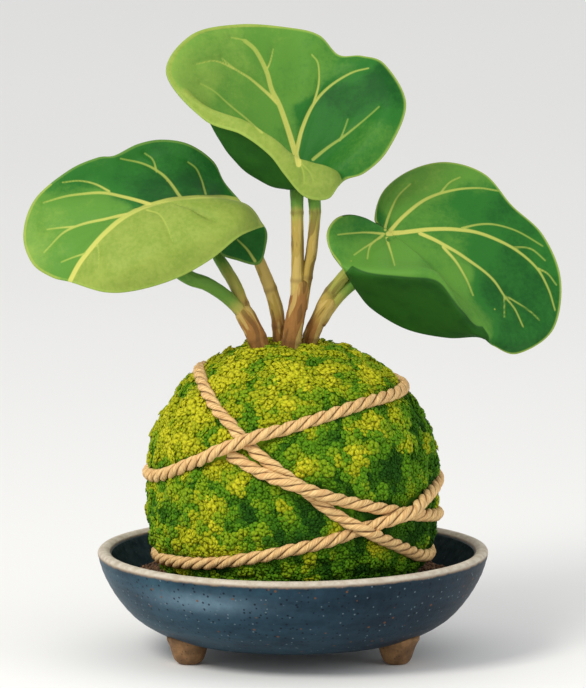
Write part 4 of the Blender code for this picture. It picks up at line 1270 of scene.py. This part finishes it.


# Left leaf: folded over along its midrib, which shows as a bright crest. The back half stands up with its
# veins, the front half hangs down and is painted pale as light, and a small lobe, painted dark as shade by
# its panels, closes it over the stem.
LEFT_HUB = (-46, -8, 170.5)
LEFT_SPOKES = [
    ((-29, -2.5, 167.5), (-17, 1, 157.5), (-12.8, -0.5, 146.6)),
    ((-29.5, -3, 166.5), (-22, 1.5, 157.5), (-20.5, 1, 147.8)),
    ((-30, -4, 166), (-26, 0, 159.5), (-27, 2, 150.5)), ((-31, -6, 167.5), (-27, -4, 164), (-28, 0, 158.5)),
    ((-32.5, -9, 172.4), (-17.8, -7.5, 169.8), (-12.0, -4, 161.2)),
    ((-33, -14, 169.2), (-20.0, -15.5, 167.0), (-13.6, -11, 161.4)),
    ((-34, -15.5, 166.5), (-24.5, -20.5, 163.0), (-20.5, -20, 159.6)),
    ((-37.5, -16, 167.5), (-32, -22, 161.3), (-30.3, -22, 151.9)),
    ((-43.5, -16, 166), (-42, -24, 157), (-42.7, -24, 145.2)),
    ((-49.5, -16, 164.5), (-54, -25, 153.5), (-57, -24, 140.7)),
    ((-55, -15, 163.5), (-65, -23, 149.5), (-69, -22, 139.5)),
    ((-60, -11, 166.0), (-73, -15, 156.0), (-82, -14, 142.0)),
    ((-62.5, -7.5, 166.0), (-79, -10, 154.2), (-89, -10, 143.2)),
    ((-64.5, -5, 165.5), (-86, -6, 154.5), (-96.3, -6, 147.8)),
    ((-66.5, -3, 167), (-88.5, 0, 160), (-99.5, 0, 157.5)),
    ((-65, 0, 169.5), (-85, 6, 168.5), (-95.3, 7, 169.4)),
    ((-61, 2, 171.5), (-75.5, 12, 174.5), (-83, 15, 178.8)),
    ((-57.5, 3.5, 173), (-66.5, 15, 177.3), (-72.5, 18.5, 183)),
    ((-54.5, 4.2, 173.4), (-61, 16, 178.6), (-66, 19, 183.8)),
    ((-50.5, 5, 174), (-54.5, 18, 181.4), (-57.5, 21, 187.7)),
    ((-46, 5, 174.5), (-47, 18, 182.5), (-48.5, 22, 189.2)),
    ((-41, 4.5, 174), (-38.5, 17, 180.5), (-38.5, 21, 187.6)),
    ((-37, 4, 173), (-31.5, 15, 176.5), (-29.7, 19, 181.6)),
    ((-34, 2, 171.5), (-27.5, 11, 171.5), (-25.2, 15, 173.8)),
    ((-32, -0.5, 170), (-22, 6, 165.5), (-14.5, 5, 163.2)),
    ((-30.5, -1.5, 168.8), (-17, 2.5, 163), (-10.2, 2, 159.0)),
    ((-29.5, -2, 168), (-16.5, 2, 160.5), (-10.2, 1, 153.2)),
]
LEFT_CREST = [
    (-11.8, 158.5), (-14, 163), (-18.5, 167), (-24, 168.8), (-33, 168.8), (-42.7, 168.2), (-52.3, 166),
    (-58.7, 163.4), (-65.1, 159.2), (-71.5, 153.2), (-77.9, 145.6), (-81.7, 139), (-82.3, 137.5),
]
LEFT_VEINS = [
    (2.0, 1.5, 1.0, LEFT_CREST[::-1]),
    (1.6, 0.6, 0.95, [(-52.5, 166), (-62.5, 169), (-72, 170.5), (-82.5, 169.5), (-92.5, 167)]),
    (0.9, 0.4, 0.8, [(-68, 171), (-74, 174), (-79.5, 175), (-85.5, 174.5)]),
    (1.4, 0.6, 0.7, [(-41.5, 168.5), (-46.5, 175.5), (-51.5, 179.5), (-57.5, 182), (-64, 183.5)]),
    (0.8, 0.4, 0.6, [(-50.5, 178.5), (-52, 183), (-55, 185.5)]),
    (0.8, 0.4, 0.5, [(-32.5, 170), (-34, 175), (-36, 179.5), (-39, 182)]),
    (1.5, 0.5, 0.95, [(-60, 162.5), (-68, 161), (-77.5, 159), (-84.5, 156), (-89.5, 151), (-92, 148.5)]),
    (0.8, 0.4, 0.8, [(-81, 158), (-87, 157.5), (-91, 157)]),
    (0.8, 0.4, 0.7, [(-75.5, 148.5), (-80, 147), (-85.5, 145)]),
    (0.7, 0.3, 0.6, [(-54, 164), (-49.5, 162.5), (-46.5, 158), (-44.5, 152.5)]),
    (0.7, 0.3, 0.5, [(-72, 151.5), (-71.5, 148), (-71.5, 143)]),
    (1.2, 0.7, 0.7, [(-14, 145.5), (-17, 150), (-20.5, 153.5)]),
]
LEFT_PANELS = [
    (-90, 161, 0.80), (-94, 152, 0.86), (-84, 163, 0.76), (-75, 165, 0.70), (-84, 151, 0.68),
    (-72, 156, 0.62), (-66, 163, 0.60), (-84, 172, 0.36), (-74, 178, 0.38), (-62, 175, 0.20),
    (-54, 172, 0.06), (-60, 184, 0.26), (-45, 182, 0.16), (-36, 178, 0.05), (-29, 172, 0.10),
    (-46, 188, 0.18), (-18, 152, 0.10), (-14, 155, 0.18),
]


def left_regions(seen, place, column, to_rim):
    """The front half hangs forward of the crest and is painted pale as light. The lobe under it is left out
    of the pale.
    """
    crest = np.array(LEFT_CREST, dtype=float)
    gap = to_line(seen, crest)[0]
    lobe = (column < 3.2) | (column > 23.7)
    crest_height = np.interp(seen[:, 0], crest[::-1, 0], crest[::-1, 1])
    below = (seen[:, 1] < crest_height) & ~lobe
    front = (column < 12.0) & (seen[:, 0] > -83)
    sliver = (column >= 12.0) & (gap < 4) & (seen[:, 0] > -76)
    pale = np.where(below & (front | sliver), gap, -gap)
    margin = np.where((column > 11.5) & (column < 15.5), 0.7 - to_rim, -1.0)
    return np.maximum(pale, margin), 0 * place + FAR, 0 * place


build_leaf("leaf_blade_left", "leaf_left", LEFT_HUB, LEFT_SPOKES, LEFT_VEINS, LEFT_PANELS, left_regions,
           LEAF_GREEN)


# Right leaf: heart-shaped, with a slit in to the stalks. It spreads to the right and droops. Its front
# margin is folded down and back, and the part beyond the fold is painted dark as shade, with lines of
# painted shade along the fold and in the slit.
RIGHT_HUB = (38, 0, 156)
RIGHT_SPOKES = [
    ((34, 3, 159), (32, 5, 160.5), (30.5, 6, 162)), ((35, 7, 164), (34, 11, 168), (33.5, 14, 171)),
    ((39.5, 10, 167), (42, 16, 174.5), (43.5, 20, 178)),
    ((46.5, 12, 168.5), (54.5, 20, 176), (57, 24, 180.5)),
    ((52.5, 12, 165.5), (65.5, 19, 172.5), (71, 24, 176)),
    ((57.5, 10, 161.5), (73, 16, 163), (81, 20, 165)),
    ((60, 6, 156.5), (83.5, 12, 152.5), (92.5, 16, 154.5)), ((61, 0, 150), (88, 4, 138.5), (99, 8, 139)),
    ((59, -6, 144.5), (85, -6, 124.5), (96, -2, 122)),
    ((54.5, -10, 142), (78.5, -13, 122), (83, -10, 114.6)),
    ((53, -12, 143.5), (71.5, -17, 124.5), (74, -14.5, 118.3)),
    ((51.5, -14, 145.5), (66.5, -20, 126.0), (68.6, -17, 121.9)),
    ((49, -15, 148.5), (61, -25, 133.5), (57.5, -9, 120.4)),
    ((45, -15, 149.5), (53.5, -27, 144.0), (42.5, -4, 122.7)),
    ((39.5, -14, 149.5), (40.5, -26, 145.7), (30, -2, 129.6)),
    ((34, -12, 150.5), (28, -22, 146.3), (24, -6, 137.0)),
    ((30.5, -10, 151.5), (21, -17.5, 148), (18.6, -17, 147.2)),
    ((29, -8, 152.5), (18, -13.5, 151.5), (13.8, -12.5, 153.6)),
    ((27.5, -5.5, 155.5), (17.5, -9, 158), (12.9, -9, 159.5)),
    ((29, -4, 157), (20, -6, 161.6), (15.8, -6, 163.8)),
    ((30.5, -3, 158), (24, -4, 163.2), (20.6, -4, 165.2)),
    ((33.5, -1.5, 158), (29.5, -2, 161.3), (26.8, -2, 163.6)),
    ((36.5, 0, 157.3), (35.5, 0, 158.2), (33.8, 0.5, 159.2)),
]
RIGHT_VEINS = [
    (2.0, 0.6, 1.0, [(35, 155.5), (41.5, 156), (50.5, 157), (60, 157), (69.5, 155.5), (81, 150.5),
                     (90, 143), (94.5, 135), (97, 127)]),
    (0.9, 0.4, 0.6, [(62.5, 157.5), (69.5, 159), (76.5, 158.5), (84, 156), (92.5, 151)]),
    (0.8, 0.4, 0.6, [(81, 150.5), (88, 150), (93.5, 145.5)]),
    (0.8, 0.4, 0.6, [(91, 142.5), (94.5, 140.5), (97.5, 136.5)]),
    (1.6, 0.5, 0.95, [(47, 155.5), (54.5, 152), (65, 145.5), (73.5, 139), (78, 132.5), (82, 127.5),
                      (85, 121)]),
    (0.7, 0.3, 0.5, [(78, 132.5), (78, 128), (78, 124.5)]),
    (0.7, 0.3, 0.5, [(79.5, 132), (83.5, 129.5), (88, 126.5), (91, 123.5)]),
    (1.2, 0.5, 0.9, [(55.5, 150.5), (60.5, 144.5), (64, 138.5), (66.5, 132.5)]),
    (1.7, 0.5, 0.95, [(36, 156.5), (40.5, 161.5), (47, 167), (53, 170), (61, 172), (69.5, 172.5),
                      (76, 171.5)]),
    (0.8, 0.4, 0.7, [(54.5, 170.5), (58, 174.5), (62, 176.5)]),
    (1.1, 0.4, 0.8, [(34, 157), (36, 163.5), (39, 169.5), (43.5, 174)]),
    (1.0, 0.3, 0.8, [(33.5, 155.5), (27, 156), (20.5, 155.5), (16.5, 155)]),
    (1.2, 0.4, 0.8, [(33, 155), (28.5, 151), (27.5, 146)]),
    (0.8, 0.3, 0.7, [(30, 152.5), (26, 150), (22.5, 147.5)]),
    (1.1, 0.4, 0.8, [(34.5, 154), (36, 149), (37.5, 143.5)]),
]
RIGHT_PANELS = [
    (40, 170, 0.76), (50, 176, 0.80), (60, 178, 0.72), (70, 174, 0.56), (46, 161, 0.52), (56, 164, 0.44),
    (66, 168, 0.20), (76, 166, 0.10), (84, 158, 0.14), (70, 151.5, 0.30), (60, 153.5, 0.46),
    (82, 146, 0.12), (92, 148, 0.20), (88, 134, 0.08), (78, 142, 0.14), (72, 132, 0.08), (84, 120, 0.12),
    (96, 130, 0.14), (18, 160, 0.46), (26, 160.5, 0.38), (18, 151, 0.52), (27, 147, 0.66), (38, 146, 0.68),
    (46, 149, 0.58), (54, 146, 0.48), (58, 140, 0.64), (62, 130, 0.60), (66, 124, 0.56),
]


def right_regions(seen, place, column, to_rim):
    """The front margin, from the stalks to the right, is folded under and painted dark there as shade, with
    a line of painted shade along the fold and in the slit.
    """
    fold = np.minimum((place - 2.0) * 10.0, np.minimum(column - 10.3, 15.8 - column) * 8.0)
    # painted shade: the part beyond the fold gets the dark underside colour
    dark = np.clip(fold * 1.2 + 0.5, 0, 1)
    margin = np.where((column > 15.5) | (column < 10.0), 0.3 - to_rim, -1.0)
    # painted shade: a dark line in the slit
    slit = np.where((column > 19.5) & (column < 22.8), to_rim * 0.5, FAR)
    crease_shade = np.where(fold > -1.5, np.abs(fold + 0.1) * 0.8, slit)
    return margin, crease_shade, dark


build_leaf("leaf_blade_right", "leaf_right", RIGHT_HUB, RIGHT_SPOKES, RIGHT_VEINS, RIGHT_PANELS,
           right_regions, LEAF_GREEN)
